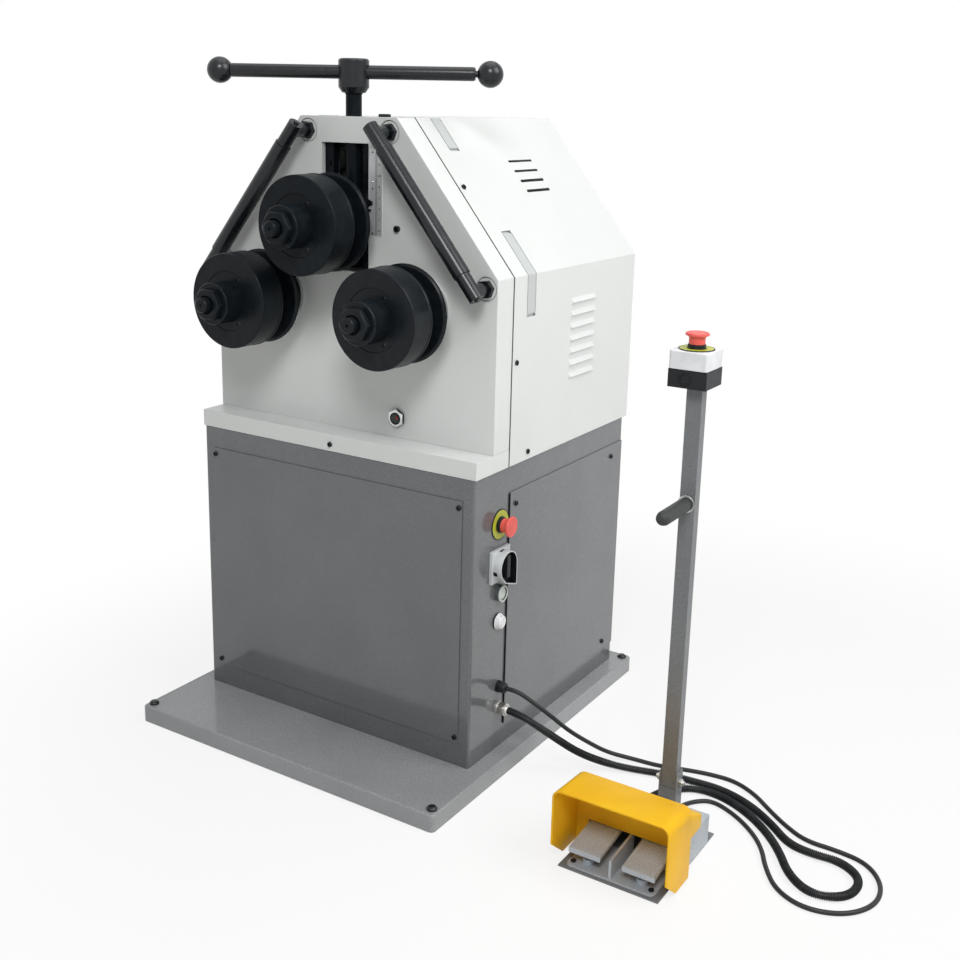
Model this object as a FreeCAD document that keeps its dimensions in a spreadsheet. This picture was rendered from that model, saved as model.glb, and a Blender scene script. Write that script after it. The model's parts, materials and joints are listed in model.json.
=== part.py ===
import FreeCAD, Part
import math
import os
import re
import Sketcher

Vector = FreeCAD.Vector
doc = FreeCAD.newDocument("ring_roller")

# Driving dimensions, in millimetres and degrees.
# X runs across the machine, Y from the front (negative) to the rear, Z up from the floor.
SIZES = {
    # base plate and its anchor bolts
    "baseWidth": 732, "baseDepth": 812, "baseTall": 35, "baseSkin": 12, "baseRail": 60,
    "baseCorner": 10, "baseEdge": 4.5, "anchorInsetX": 15, "anchorInsetY": 19, "anchorShank": 6,
    "anchorHead": 10, "anchorHeadTall": 7, "anchorPad": 22,
    # cabinet and its cover panels
    "cabinetWidth": 660, "cabinetDepth": 600, "cabinetTall": 572, "cabinetWall": 4,
    "cabinetTop": 10, "cabinetCorner": 5, "frontStep": 171, "panelSheet": 2.5, "panelLap": 18,
    "frontPanelMargin": 24, "frontPanelRise": 47, "frontPanelTall": 483,
    "sidePanelFront": 125, "sidePanelRise": 43, "sidePanelTall": 477, "panelScrewInset": 13,
    # head: ledge, front plate, hood
    "ledgeLip": 3.8, "ledgeTall": 34.4, "ledgeRear": 13, "windowWidth": 300, "windowDepth": 200,
    "plateSetback": 57, "plateThick": 55, "shoulderRise": 320, "crownRise": 593.5,
    "crownHalf": 112.5, "seam": 3, "hoodSheet": 3,
    # slot, keepers and yoke that guide the top roll
    "slotLeft": 62, "slotRight": 48, "slotFloor": 308.6, "yokeTall": 48, "yokeLap": 4,
    "keeperWide": 20, "keeperSetback": 11, "keeperDeep": 17, "scaleLeft": 52, "scaleRight": 80,
    "scaleLow": 380, "scaleHigh": 537, "scaleThick": 1,
    # second frame plate and its spacers
    "frameGap": 52, "frameThick": 27, "spacerRadius": 20,
    "frameTabLow": 247, "frameTabReach": 90, "crownTabReach": 70, "tabMargin": 6,
    # roll sets, counted forward from the face of the front plate
    "rollSpread": 170, "rollRise": 251, "rollLift": 151.9, "shaftRadius": 22.5,
    "threadRadius": 18, "endRadius": 14, "collarRadius": 38, "flangeRear": 49.5,
    "flangeWide": 7.2, "flangeRadius": 90.7, "grooveWide": 37.1, "grooveRadius": 56,
    "discWide": 55.5, "discRadius": 90, "discEdge": 1.5, "hubFlange": 56.6, "hubFlangeWide": 8,
    "bossRadius": 39.4, "bossLong": 43.3, "nutAcross": 55, "nutThick": 14.4, "endLong": 13.9,
    "hubScrewRing": 47, "hubScrewRadius": 4.5, "fit": 0.05, "running": 0.3,
    # bearings and gears behind the front plate
    "seatRadius": 30, "bearingRadius": 55, "rearSeat": 25, "rearBearing": 45,
    "capRadius": 60, "capThick": 8, "gearModule": 5, "gearTeeth": 48, "pinionTeeth": 22,
    "gearWide": 40, "pressureAngle": 20, "backlash": 0.3, "pinionFront": 15,
    "pinionFrontBearing": 26, "pinionBearingWide": 15, "pinionSeat": 20, "pinionBearing": 31,
    "pinionTail": 60, "reducerRadius": 85, "reducerFlange": 100, "reducerLong": 120,
    "motorRadius": 75, "motorLong": 190,
    # top roll slide
    "slideBelow": 54, "slideAbove": 60, "slideFrontGap": 2, "slideDeep": 41,
    "topSeat": 17.5, "topBearing": 36, "topBearingWide": 17,
    "pointerRise": 23, "pointerThick": 4.5,
    # pressure screw and tommy bar
    "screwSetback": 19, "screwRadius": 15, "spigotRadius": 11, "spigotLong": 22,
    "hubRise": 52, "hubTall": 51, "hubRadius": 28.5, "hubNeckRadius": 21.5, "hubConeTall": 10,
    "screwCollarTall": 2.5, "barRise": 79, "barRadius": 12.5, "barHalf": 252, "ballRadius": 24,
    "ballNeck": 6, "ballNeckLong": 3, "barTurn": 27,
    "plugX": 68, "plugRadius": 11.5, "plugTall": 5.5,
    # round bars beside the rolls
    "barX": 202, "barZ": 434.6, "bareHalf": 186, "barStandoff": 45, "barSlope": 51,
    "sleeveHalf": 136, "sleeveRadius": 16, "fittingRadius": 14, "studSpread": 170,
    "studRadius": 10, "studNutAcross": 30, "studNutThick": 10, "spotRadius": 22, "spotDeep": 1.5,
    # controls on the right side of the cabinet, by distance from its front and height
    "stopFront": 92.5, "stopHigh": 500.5, "legendRadius": 30, "legendThick": 1.5,
    "stopCollar": 15, "stopCollarTall": 8.5, "stopSleeve": 10.8, "stopStem": 6,
    "stopWaist": 13.6, "stopFlare": 10.5, "stopHead": 20, "stopHeadTall": 19.4,
    "stopTravel": 6, "switchFront": 90, "switchHigh": 423, "switchSide": 64,
    "switchPlateThick": 7, "switchRing": 30, "switchWall": 3, "switchSkirt": 38,
    "switchCorner": 20, "switchRingTall": 18, "switchDial": 24,
    "buttonFront": 95.5, "buttonHigh": 363, "buttonRing": 16.3, "buttonRingTall": 11,
    "buttonCap": 12.5, "buttonRecess": 2.5, "buttonTravel": 4, "lampFront": 93, "lampHigh": 306,
    "lampRadius": 16.3, "lampCap": 14.4, "lampTall": 13, "cordGlandFront": 102.4, "cordGlandHigh": 166.8,
    "conduitGlandFront": 104.8, "conduitGlandHigh": 120.5, "glandHoleRadius": 11,
    "sightX": 114.7, "sightRise": 38.3, "sightRadius": 14.5, "sightBody": 10,
    # control plate inside the cabinet
    "boardHalf": 200, "boardLow": 220, "boardHigh": 520, "boardSheet": 3, "boardPost": 20,
    "boardPostRadius": 6, "boardPostInset": 20, "relayLeft": 150, "relayPitch": 60,
    "relayWide": 45, "relayLow": 390, "relayHigh": 475, "relayDeep": 80, "coreLeft": 60,
    "coreRight": 150, "coreLow": 270, "coreHigh": 350,
    # control stand, in its own frame
    "standGap": 358, "footHalf": 93, "footFront": -127, "footRear": 115, "footThick": 3,
    "castHalf": 81.5, "castFront": -122, "castRear": -30, "castTall": 4, "castCorner": 10,
    "finHalf": 2.5, "finFrontTall": 40, "finRearTall": 48, "finSetback": 4, "stopPad": 9,
    "stopPadTall": 8, "stopPadSetback": 20, "pedalHalf": 30, "pedalX": 50, "pedalFront": -115,
    "pedalRear": -25, "pedalThick": 6, "pedalFrontTop": 36, "pedalRearTop": 47, "axleY": 12,
    "axleZ": 34, "axleRadius": 5, "housingHalf": 94, "housingFront": -28,
    "housingTall": 58, "housingWall": 4, "guardHalf": 107,
    "guardFront": -131, "guardStep": -35, "guardTop": 133, "guardRearTop": 128,
    "guardWall": 3, "guardCorner": 14, "guardLow": 3, "rearHoodHalf": 97,
    "rearHoodRear": 35, "rearHoodTop": 120, "rearHoodEnd": 87, "rearHoodLow": 59,
    "columnX": 11, "columnY": 97, "columnWide": 28, "columnDeep": 20, "columnWall": 2,
    "columnTop": 817, "bracketTall": 112, "bracketWeb": 80, "bracketSheet": 3, "boltHigh": 92,
    "gripHigh": 613, "gripRadius": 12.5, "gripLong": 104, "boxSide": 68, "boxX": 7, "boxY": 94,
    "boxBaseTall": 31, "boxLidTall": 30.4, "boxWall": 3, "boxCorner": 5, "boxEdge": 2,
    "knockoutRadius": 8, "knockoutRing": 11,
    # cords
    "cableRadius": 4.25, "conduitRadius": 7.5,
}

sizes = doc.addObject("Spreadsheet::Sheet", "sizes")
for row, (alias, number) in enumerate(SIZES.items(), 1):
    sizes.set(f"A{row}", alias)
    sizes.set(f"B{row}", str(number))
    sizes.setAlias(f"B{row}", alias)
doc.recompute()


def link(text):
    """Names the sheet that each word of an expression belongs to."""
    words = {name: f"sizes.{name}" for name in SIZES}
    words.update({name: f"layout.{name}" for name in LAYOUT})
    return re.sub(r"[A-Za-z]\w*", lambda found: words.get(found[0], found[0]), str(text))


# Places that follow from the driving dimensions.
LAYOUT = {
    "cabinetFront": "-baseDepth / 2 + frontStep",
    "cabinetRear": "cabinetFront + cabinetDepth",
    "cabinetHigh": "baseTall + cabinetTall",
    "cabinetRight": "cabinetWidth / 2",
    "standX": "cabinetRight + standGap",
    "standY": "cabinetFront",
    "headHalf": "cabinetWidth / 2 + ledgeLip",
    "ledgeHigh": "cabinetHigh + ledgeTall",
    "plateFace": "cabinetFront + plateSetback",
    "plateRear": "plateFace + plateThick",
    "hoodFront": "plateRear + seam",
    "hoodRear": "cabinetRear + ledgeRear",
    "shoulderHigh": "ledgeHigh + shoulderRise",
    "crownHigh": "ledgeHigh + crownRise",
    "slantRun": "headHalf - crownHalf",
    "slantDrop": "crownRise - shoulderRise",
    "slantLong": "sqrt(slantRun * slantRun + slantDrop * slantDrop)",
    "slantX": "slantDrop / slantLong",
    "slantZ": "slantRun / slantLong",
    "slotLow": "ledgeHigh + slotFloor",
    "yokeLow": "crownHigh - yokeTall",
    "keeperFace": "plateFace + keeperSetback",
    "keeperRear": "keeperFace + keeperDeep",
    "frameFront": "plateRear + frameGap",
    "frameRear": "frameFront + frameThick",
    "rollHigh": "ledgeHigh + rollRise",
    "topRollHigh": "rollHigh + rollLift",
    "flangeFront": "flangeRear + flangeWide",
    "discRear": "flangeFront + grooveWide",
    "discFront": "discRear + discWide",
    "bossFront": "discFront + bossLong",
    "nutFront": "bossFront + nutThick",
    "shaftEnd": "nutFront + endLong",
    "gearPitch": "gearModule * gearTeeth / 2",
    "pinionPitch": "gearModule * pinionTeeth / 2",
    "axleSpan": "gearPitch + pinionPitch",
    "pinionDrop": "sqrt(axleSpan * axleSpan - rollSpread * rollSpread)",
    "pinionHigh": "rollHigh - pinionDrop",
    "gearFront": "plateRear + (frameGap - gearWide) / 2",
    "gearRear": "gearFront + gearWide",
    "slideFace": "plateFace + slideFrontGap",
    "slideShoulder": "keeperRear + running",
    "slideRear": "plateRear + slideDeep",
    "slideHigh": "topRollHigh + slideAbove",
    "screwY": "plateFace + screwSetback",
    "hubLow": "crownHigh + hubRise",
    "barHigh": "crownHigh + barRise",
    "barAxis": "plateFace - barStandoff",
    "stopY": "cabinetFront + stopFront",
    "switchY": "cabinetFront + switchFront",
    "buttonY": "cabinetFront + buttonFront",
    "lampY": "cabinetFront + lampFront",
    "cordGlandY": "cabinetFront + cordGlandFront",
    "conduitGlandY": "cabinetFront + conduitGlandFront",
    "columnFront": "columnY - columnDeep / 2",
    "housingRear": "columnFront - bracketSheet - running",
    "boxLow": "columnTop",
    "boxSplit": "columnTop + boxBaseTall",
    "boxHigh": "boxSplit + boxLidTall",
}

layout = doc.addObject("Spreadsheet::Sheet", "layout")
for row, (alias, formula) in enumerate(LAYOUT.items(), 1):
    layout.set(f"A{row}", alias)
    layout.set(f"B{row}", "=" + link(formula))
    layout.setAlias(f"B{row}", alias)
    doc.recompute()


def value(text):
    """The number that an expression comes to."""
    return float(sizes.evalExpression(link(text)))


# ---- helpers -------------------------------------------------------------------------------

TURNS = {
    "X": FreeCAD.Rotation(Vector(0, 1, 0), 90),
    "-X": FreeCAD.Rotation(Vector(0, 1, 0), -90),
    "Y": FreeCAD.Rotation(Vector(1, 0, 0), -90),
    "-Y": FreeCAD.Rotation(Vector(1, 0, 0), 90),
    "Z": FreeCAD.Rotation(),
}
STAND = ("standX", "standY", "0")
nodes = []


def bind(thing, **expressions):
    """Binds properties to expressions; a double underscore stands for a dot."""
    for name, text in expressions.items():
        thing.setExpression(name.replace("__", "."), link(text))
    return thing


def place(thing, at, axis="Z"):
    """Puts a thing at a point, with its own Z along the named axis."""
    thing.Placement = FreeCAD.Placement(Vector(0, 0, 0), TURNS[axis])
    return bind(thing, Placement__Base__x=at[0], Placement__Base__y=at[1],
                Placement__Base__z=at[2])


def node(thing, label):
    """Names a finished piece, which gives its file its name."""
    thing.Label = label
    nodes.append(thing)
    return thing


def cylinder(name, axis, at, radius, tall):
    made = bind(doc.addObject("Part::Cylinder", name), Radius=radius, Height=tall)
    return place(made, at, axis)


def hexagon(name, axis, at, across, tall):
    made = doc.addObject("Part::Prism", name)
    made.Polygon = 6
    bind(made, Circumradius=f"({across}) / sqrt(3)", Height=tall)
    return place(made, at, axis)


def block(name, low, high):
    made = bind(doc.addObject("Part::Box", name), Length=f"({high[0]}) - ({low[0]})",
                Width=f"({high[1]}) - ({low[1]})", Height=f"({high[2]}) - ({low[2]})")
    return place(made, low)


def fuse(name, shapes):
    made = doc.addObject("Part::MultiFuse", name)
    made.Shapes = shapes
    made.Refine = True
    return made


def cut(name, base, tools):
    made = doc.addObject("Part::Cut", name)
    made.Base = base
    made.Tool = tools[0] if len(tools) == 1 else fuse(name + "_tools", tools)
    made.Refine = True
    return made


def group(name, shapes):
    made = doc.addObject("Part::Compound", name)
    made.Links = shapes
    return made


def new_body(name, at=None, axis="Z"):
    made = doc.addObject("PartDesign::Body", name)
    if at:
        place(made, at, axis)
    return made


def new_sketch(body, name, plane, offset="0"):
    """A sketch on one of the body's own origin planes, moved along that plane's normal."""
    origin = [face for face in body.Origin.OriginFeatures if face.Role == plane + "_Plane"][0]
    sketch = body.newObject("Sketcher::SketchObject", name)
    sketch.AttachmentSupport = (origin, [""])
    sketch.MapMode = "FlatFace"
    return bind(sketch, AttachmentOffset__Base__z=offset)


def draw_polygon(sketch, points):
    """A closed outline whose corners are bound to pairs of expressions."""
    corners = [Vector(value(x), value(y), 0) for x, y in points]
    first = sketch.GeometryCount
    count = len(corners)
    for index in range(count):
        line = Part.LineSegment(corners[index], corners[(index + 1) % count])
        sketch.addGeometry(line, False)
    for index in range(count):
        following = first + (index + 1) % count
        sketch.addConstraint(Sketcher.Constraint("Coincident", first + index, 2, following, 1))
    for index, (x, y) in enumerate(points):
        for kind, text, size in (("DistanceX", x, corners[index].x),
                                 ("DistanceY", y, corners[index].y)):
            rule = Sketcher.Constraint(kind, -1, 1, first + index, 1, size)
            number = sketch.addConstraint(rule)
            sketch.setExpression(f"Constraints[{number}]", link(text))


def draw_circle(sketch, x, y, radius):
    centre = Vector(value(x), value(y), 0)
    ring = sketch.addGeometry(Part.Circle(centre, Vector(0, 0, 1), value(radius)), False)
    for kind, place_text, size in (("DistanceX", x, centre.x), ("DistanceY", y, centre.y)):
        rule = Sketcher.Constraint(kind, -1, 1, ring, 3, size)
        number = sketch.addConstraint(rule)
        sketch.setExpression(f"Constraints[{number}]", link(place_text))
    number = sketch.addConstraint(Sketcher.Constraint("Radius", ring, value(radius)))
    sketch.setExpression(f"Constraints[{number}]", link(radius))


def span(plane, low, high):
    """Where a sketch lies so that a pad of it fills low..high, or a pocket cuts low..high."""
    pad_at = f"-({high})" if plane == "XZ" else low
    pocket_at = f"-({low})" if plane == "XZ" else high
    return pad_at, pocket_at, f"({high}) - ({low})"


def pad(body, name, plane, low, high, draw):
    """Adds the drawn outline between two places along the plane's axis."""
    offset, _, tall = span(plane, low, high)
    sketch = new_sketch(body, name + "_outline", plane, offset)
    draw(sketch)
    made = body.newObject("PartDesign::Pad", name)
    made.Profile = sketch
    bind(made, Length=tall)
    return made


def pocket(body, name, plane, low, high, draw):
    """Cuts the drawn outline between two places along the plane's axis."""
    doc.recompute()
    before = body.Shape.Volume
    _, offset, tall = span(plane, low, high)
    sketch = new_sketch(body, name + "_outline", plane, offset)
    draw(sketch)
    made = body.newObject("PartDesign::Pocket", name)
    made.Profile = sketch
    bind(made, Length=tall)
    doc.recompute()
    if body.Shape.Volume >= before:
        raise ValueError(f"{body.Name}.{name} cuts nothing")
    return made


def polygon(*points):
    return lambda sketch: draw_polygon(sketch, points)


def rectangle(left, low, right, high):
    return polygon((left, low), (right, low), (right, high), (left, high))


def circles(*rings):
    def draw(sketch):
        for x, y, radius in rings:
            draw_circle(sketch, x, y, radius)
    return draw


def turned(name, axis, at, profile):
    """A turned piece: its profile is pairs of radius and height along its own axis."""
    body = new_body(name, at, axis)
    sketch = new_sketch(body, name + "_profile", "XZ")
    draw_polygon(sketch, profile)
    made = body.newObject("PartDesign::Revolution", name + "_turn")
    made.Profile = sketch
    made.ReferenceAxis = (sketch, ["V_Axis"])
    made.Angle = 360
    return body


def ring(name, axis, at, inner, outer, low, high):
    return turned(name, axis, at, [(inner, low), (outer, low), (outer, high), (inner, high)])


def round_edges(body, name, radius, chosen):
    """Fillets the edges of the body that a test on the edge picks."""
    doc.recompute()
    tip = body.Tip
    picked = [f"Edge{number}" for number, edge in enumerate(tip.Shape.Edges, 1) if chosen(edge)]
    made = body.newObject("PartDesign::Fillet", name)
    made.Base = (tip, picked)
    return bind(made, Radius=radius)


def upright(edge):
    """True of a straight edge that runs along Z."""
    box = edge.BoundBox
    return box.XLength < 1e-6 and box.YLength < 1e-6


def mirrored(x):
    return f"-({x})"


# ---- base and cabinet ----------------------------------------------------------------------

def anchor_places():
    across = "baseWidth / 2 - anchorInsetX"
    along = "baseDepth / 2 - anchorInsetY"
    return [(side_x + f"({across})", side_y + f"({along})")
            for side_x in ("", "-") for side_y in ("", "-")]


def make_base_plate():
    """A plate stiffened by rails round its edge and across its middle, open underneath."""
    body = new_body("base_plate")
    half_x, half_y = "baseWidth / 2", "baseDepth / 2"
    pad(body, "slab", "XY", "0", "baseTall", rectangle("-" + half_x, "-" + half_y, half_x, half_y))
    for number, (side_x, side_y) in enumerate(((1, 1), (1, -1), (-1, 1), (-1, -1))):
        near_x, far_x = f"{side_x} * baseRail / 2", f"{side_x} * (baseWidth / 2 - baseRail)"
        near_y, far_y = f"{side_y} * baseRail / 2", f"{side_y} * (baseDepth / 2 - baseRail)"
        low_x, high_x = (near_x, far_x) if side_x > 0 else (far_x, near_x)
        low_y, high_y = (near_y, far_y) if side_y > 0 else (far_y, near_y)
        pocket(body, f"bay{number}", "XY", "0", "baseTall - baseSkin",
               rectangle(low_x, low_y, high_x, high_y))
    holes = [(x, y, "anchorShank + 0.5") for x, y in anchor_places()]
    pocket(body, "anchor_holes", "XY", "0", "baseTall", circles(*holes))
    outer = value("baseWidth") / 2
    round_edges(body, "corners", "baseCorner",
                lambda edge: upright(edge) and abs(edge.BoundBox.XMax) > outer - 0.1
                or upright(edge) and abs(edge.BoundBox.XMin) > outer - 0.1)
    top = value("baseTall")
    round_edges(body, "top_edge", "baseEdge",
                lambda edge: edge.BoundBox.ZMin > top - 0.1
                and (edge.BoundBox.XMin > outer - 0.1 or edge.BoundBox.XMax < 0.1 - outer))
    return node(body, "base_plate")


def make_anchor_bolts():
    bolts = []
    for number, (x, y) in enumerate(anchor_places()):
        profile = [("0", "1"), ("anchorShank", "1"), ("anchorShank", "baseTall"),
                   ("anchorHead", "baseTall"), ("anchorHead", "baseTall + anchorHeadTall / 2"),
                   ("anchorHead * 0.6", "baseTall + anchorHeadTall"),
                   ("0", "baseTall + anchorHeadTall")]
        bolts.append(turned(f"anchor_bolt{number}", "Z", (x, y, "0"), profile))
    return node(group("anchor_bolts", bolts), "anchor_bolts")


def side_control_holes():
    """Round holes in a wall that faces +X, at the places of the controls."""
    return circles(("stopY", "stopHigh", "stopSleeve + 0.2"), ("switchY", "switchHigh", "10"),
                   ("buttonY", "buttonHigh", "buttonCap + 1 + fit"), ("lampY", "lampHigh", "8"),
                   ("cordGlandY", "cordGlandHigh", "glandHoleRadius - 3"),
                   ("conduitGlandY", "conduitGlandHigh", "glandHoleRadius - 2"))


def front_panel_edges():
    half = "cabinetWidth / 2 - frontPanelMargin"
    low = "baseTall + frontPanelRise"
    return half, low, f"{low} + frontPanelTall"


def side_panel_edges():
    low = "baseTall + sidePanelRise"
    return "cabinetFront + sidePanelFront", "cabinetRear", low, f"{low} + sidePanelTall"


def make_cabinet():
    body = new_body("cabinet_shell")
    wall = "cabinetWall"
    pad(body, "walls", "XY", "baseTall", "cabinetHigh",
        rectangle("-cabinetRight", "cabinetFront", "cabinetRight", "cabinetRear"))
    pocket(body, "room", "XY", "baseTall", "cabinetHigh - cabinetTop",
           rectangle(f"-cabinetRight + {wall}", f"cabinetFront + {wall}",
                     f"cabinetRight - {wall}", f"cabinetRear - {wall}"))
    front_face = value("cabinetFront")
    round_edges(body, "front_corners", "cabinetCorner",
                lambda edge: upright(edge) and edge.BoundBox.YMax < front_face + 0.1)
    half, low, high = front_panel_edges()
    pocket(body, "front_opening", "XZ", "cabinetFront - 1", f"cabinetFront + {wall} + 1",
           rectangle(f"-({half} - panelLap)", f"{low} + panelLap", f"{half} - panelLap",
                     f"{high} - panelLap"))
    front, rear, low, high = side_panel_edges()
    pocket(body, "side_opening", "YZ", f"cabinetRight - {wall} - 1", "cabinetRight + 1",
           rectangle(f"{front} + panelLap", f"{low} + panelLap", f"{rear} - panelLap * 2",
                     f"{high} - panelLap"))
    pocket(body, "control_holes", "YZ", f"cabinetRight - {wall} - 1", "cabinetRight + 1",
           side_control_holes())
    return node(body, "cabinet_shell")


def front_screw_places():
    half, low, high = front_panel_edges()
    inset = "panelScrewInset / 2"
    return [(f"{side}({half} - {inset})", level) for side in ("", "-")
            for level in (f"{low} + panelScrewInset", f"{high} - panelScrewInset")]


def side_screw_places():
    front, rear, low, high = side_panel_edges()
    return [(f"{front} + panelScrewInset * 1.5", f"{high} - panelScrewInset * 2"),
            (f"{front} + panelScrewInset * 1.5", f"{low} + panelScrewInset * 1.5"),
            (f"{rear} - panelScrewInset * 4", f"{high} - panelScrewInset * 2"),
            (f"{rear} - panelScrewInset * 4", f"{low} + panelScrewInset * 1.5")]


def make_panels():
    body = new_body("front_panel")
    half, low, high = front_panel_edges()
    pad(body, "sheet", "XZ", "cabinetFront - panelSheet", "cabinetFront",
        rectangle(f"-({half})", low, half, high))
    pocket(body, "holes", "XZ", "cabinetFront - panelSheet", "cabinetFront",
           circles(*[(x, z, "3.1") for x, z in front_screw_places()]))
    node(body, "front_panel")
    body = new_body("side_panel")
    front, rear, low, high = side_panel_edges()
    pad(body, "sheet", "YZ", "cabinetRight", "cabinetRight + panelSheet",
        rectangle(front, low, rear, high))
    pocket(body, "holes", "YZ", "cabinetRight", "cabinetRight + panelSheet",
           circles(*[(y, z, "3.1") for y, z in side_screw_places()]))
    node(body, "side_panel")


# ---- head ----------------------------------------------------------------------------------

def shoulder(inset):
    """The corner between the side and the slope of the head, moved in by an amount."""
    return f"headHalf - ({inset})", f"shoulderHigh - ({inset}) * slantZ / (1 + slantX)"


def crown(inset):
    """The corner between the slope and the top of the head, moved in by an amount."""
    return f"crownHalf - ({inset}) * slantX / (1 + slantZ)", f"crownHigh - ({inset})"


def on_slope(along, inset):
    """A point of the right slope, counted up from the shoulder and moved in."""
    return (f"headHalf - ({along}) * slantZ - ({inset}) * slantX",
            f"shoulderHigh + ({along}) * slantX - ({inset}) * slantZ")


def both_sides(right):
    """An outline from its right half, listed from the bottom to the top."""
    return right + [(mirrored(x), z) for x, z in reversed(right)]


def house(inset, low="ledgeHigh"):
    return both_sides([(f"headHalf - ({inset})", low), shoulder(inset), crown(inset)])


def bar_stud_places():
    """Centres of the four studs that carry the round bars."""
    reach_x = "studSpread * cos(barSlope)"
    reach_z = "studSpread * sin(barSlope)"
    places = []
    for side in ("", "-"):
        places.append((f"{side}(barX - {reach_x})", f"ledgeHigh + barZ + {reach_z}"))
        places.append((f"{side}(barX + {reach_x})", f"ledgeHigh + barZ - {reach_z}"))
    return places


def make_head_base():
    body = new_body("head_base")
    pad(body, "slab", "XY", "cabinetHigh", "ledgeHigh",
        rectangle("-headHalf", "cabinetFront", "headHalf", "hoodRear"))
    pocket(body, "window", "XY", "cabinetHigh", "ledgeHigh",
           rectangle("-windowWidth / 2", "frameRear + 20", "windowWidth / 2",
                     "frameRear + 20 + windowDepth"))
    return node(body, "head_base")


def make_front_plate():
    body = new_body("front_plate")
    pad(body, "slab", "XZ", "plateFace", "plateRear", polygon(*house("0")))
    pocket(body, "slot", "XZ", "plateFace", "plateRear",
           rectangle("-slotLeft", "slotLow", "slotRight", "yokeLow"))
    pocket(body, "yoke_seat", "XZ", "plateFace", "plateRear",
           rectangle("-slotLeft - yokeLap", "yokeLow", "slotRight + yokeLap", "crownHigh + 1"))
    pocket(body, "bearing_bores", "XZ", "plateFace", "plateRear",
           circles(("rollSpread", "rollHigh", "bearingRadius"),
                   ("-rollSpread", "rollHigh", "bearingRadius")))
    pocket(body, "pinion_bore", "XZ", "plateRear - pinionBearingWide", "plateRear",
           circles(("0", "pinionHigh", "pinionFrontBearing")))
    pocket(body, "spot_faces", "XZ", "plateFace", "plateFace + spotDeep",
           circles(*[(x, z, "spotRadius") for x, z in bar_stud_places()]))
    pocket(body, "sight_hole", "XZ", "plateFace", "plateFace + 32",
           circles(("sightX", "ledgeHigh + sightRise", "sightBody + fit")))
    return node(body, "front_plate")


def make_yoke_block():
    body = new_body("yoke_block")
    pad(body, "block", "XZ", "plateFace", "plateRear",
        rectangle("-slotLeft - yokeLap", "yokeLow", "slotRight + yokeLap", "crownHigh"))
    pocket(body, "thread", "XY", "yokeLow", "crownHigh",
           circles(("0", "screwY", "screwRadius + fit")))
    return node(body, "yoke_block")


def make_keepers():
    """The two rails that hold the slide back in its slot, with their screws."""
    left = block("left_keeper", ("-slotLeft", "keeperFace", "slotLow"),
                 ("-slotLeft + keeperWide", "keeperRear", "yokeLow"))
    right = block("right_keeper", ("slotRight - keeperWide", "keeperFace", "slotLow"),
                  ("slotRight", "keeperRear", "yokeLow"))
    screws = []
    for side, x in (("left", "-slotLeft + keeperWide / 2"), ("right", "slotRight - keeperWide / 2")):
        for number, share in enumerate((0.06, 0.34, 0.62, 0.84)):
            high = f"slotLow + {share} * (yokeLow - slotLow)"
            screws.append(cylinder(f"{side}_keeper_screw{number}", "-Y", (x, "keeperFace", high),
                                   "4.5", "4"))
    return node(group("slide_keepers", [left, right] + screws), "slide_keepers")


def make_scale():
    plate = block("scale_plate", ("scaleLeft", "plateFace - scaleThick", "ledgeHigh + scaleLow"),
                  ("scaleRight", "plateFace", "ledgeHigh + scaleHigh"))
    return node(plate, "scale_strip")


def frame_outline():
    """The second plate fills the hood and shows flush through the hood's cut-outs."""
    inner = "hoodSheet + 1"
    flush = "0.5"
    low = f"ledgeHigh + frameTabLow"
    reach = "frameTabReach"
    upper = "slantLong - crownTabReach"
    return both_sides([
        (f"headHalf - ({inner})", "ledgeHigh"), (f"headHalf - ({inner})", low),
        (f"headHalf - {flush}", low), shoulder(flush), on_slope(reach, flush),
        on_slope(reach, inner), on_slope(upper, inner), on_slope(upper, flush), crown(flush),
        (f"crownHalf - 12", f"crownHigh - {flush}"), (f"crownHalf - 12", f"crownHigh - ({inner})")])


def make_rear_frame():
    body = new_body("frame_plate")
    pad(body, "slab", "XZ", "frameFront", "frameRear", polygon(*frame_outline()))
    pocket(body, "bearing_bores", "XZ", "frameFront", "frameRear",
           circles(("rollSpread", "rollHigh", "rearBearing"),
                   ("-rollSpread", "rollHigh", "rearBearing"),
                   ("0", "pinionHigh", "pinionBearing")))
    pocket(body, "slide_window", "XZ", "frameFront", "frameRear",
           rectangle("-slotLeft", "slotLow", "slotRight", "yokeLow"))
    return node(group("rear_frame_set", [body] + make_spacers()), "rear_frame")


def make_spacers():
    """Round distance pieces that hold the two plates apart."""
    spacers = []
    places = [(f"{side}(headHalf - 50)", "ledgeHigh + 60") for side in ("", "-")]
    places += [(f"{side}(slotLeft + 30)", "crownHigh - 80") for side in ("", "-")]
    for number, (x, z) in enumerate(places):
        spacers.append(cylinder(f"spacer{number}", "Y", (x, "plateRear", z), "spacerRadius",
                                "frameGap"))
    return spacers


HOOD_SLOTS = 4
LOUVRES = 7


def hood_cut_outs():
    """Right-hand outlines, in the XZ plane, of the openings over the second plate's edge."""
    deep = "hoodSheet + 0.6"
    low = "ledgeHigh + frameTabLow - tabMargin"
    reach = "frameTabReach + tabMargin"
    upper = "slantLong - crownTabReach - tabMargin"
    over = "-2"
    bent = [("headHalf + 2", low), shoulder(over), on_slope(reach, over), on_slope(reach, deep),
            shoulder(deep), (f"headHalf - ({deep})", low)]
    strip = [on_slope(upper, over), crown(over), (f"crownHalf - 14", "crownHigh + 2"),
             (f"crownHalf - 14", f"crownHigh - ({deep})"), crown(deep), on_slope(upper, deep)]
    return bent, strip


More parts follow.
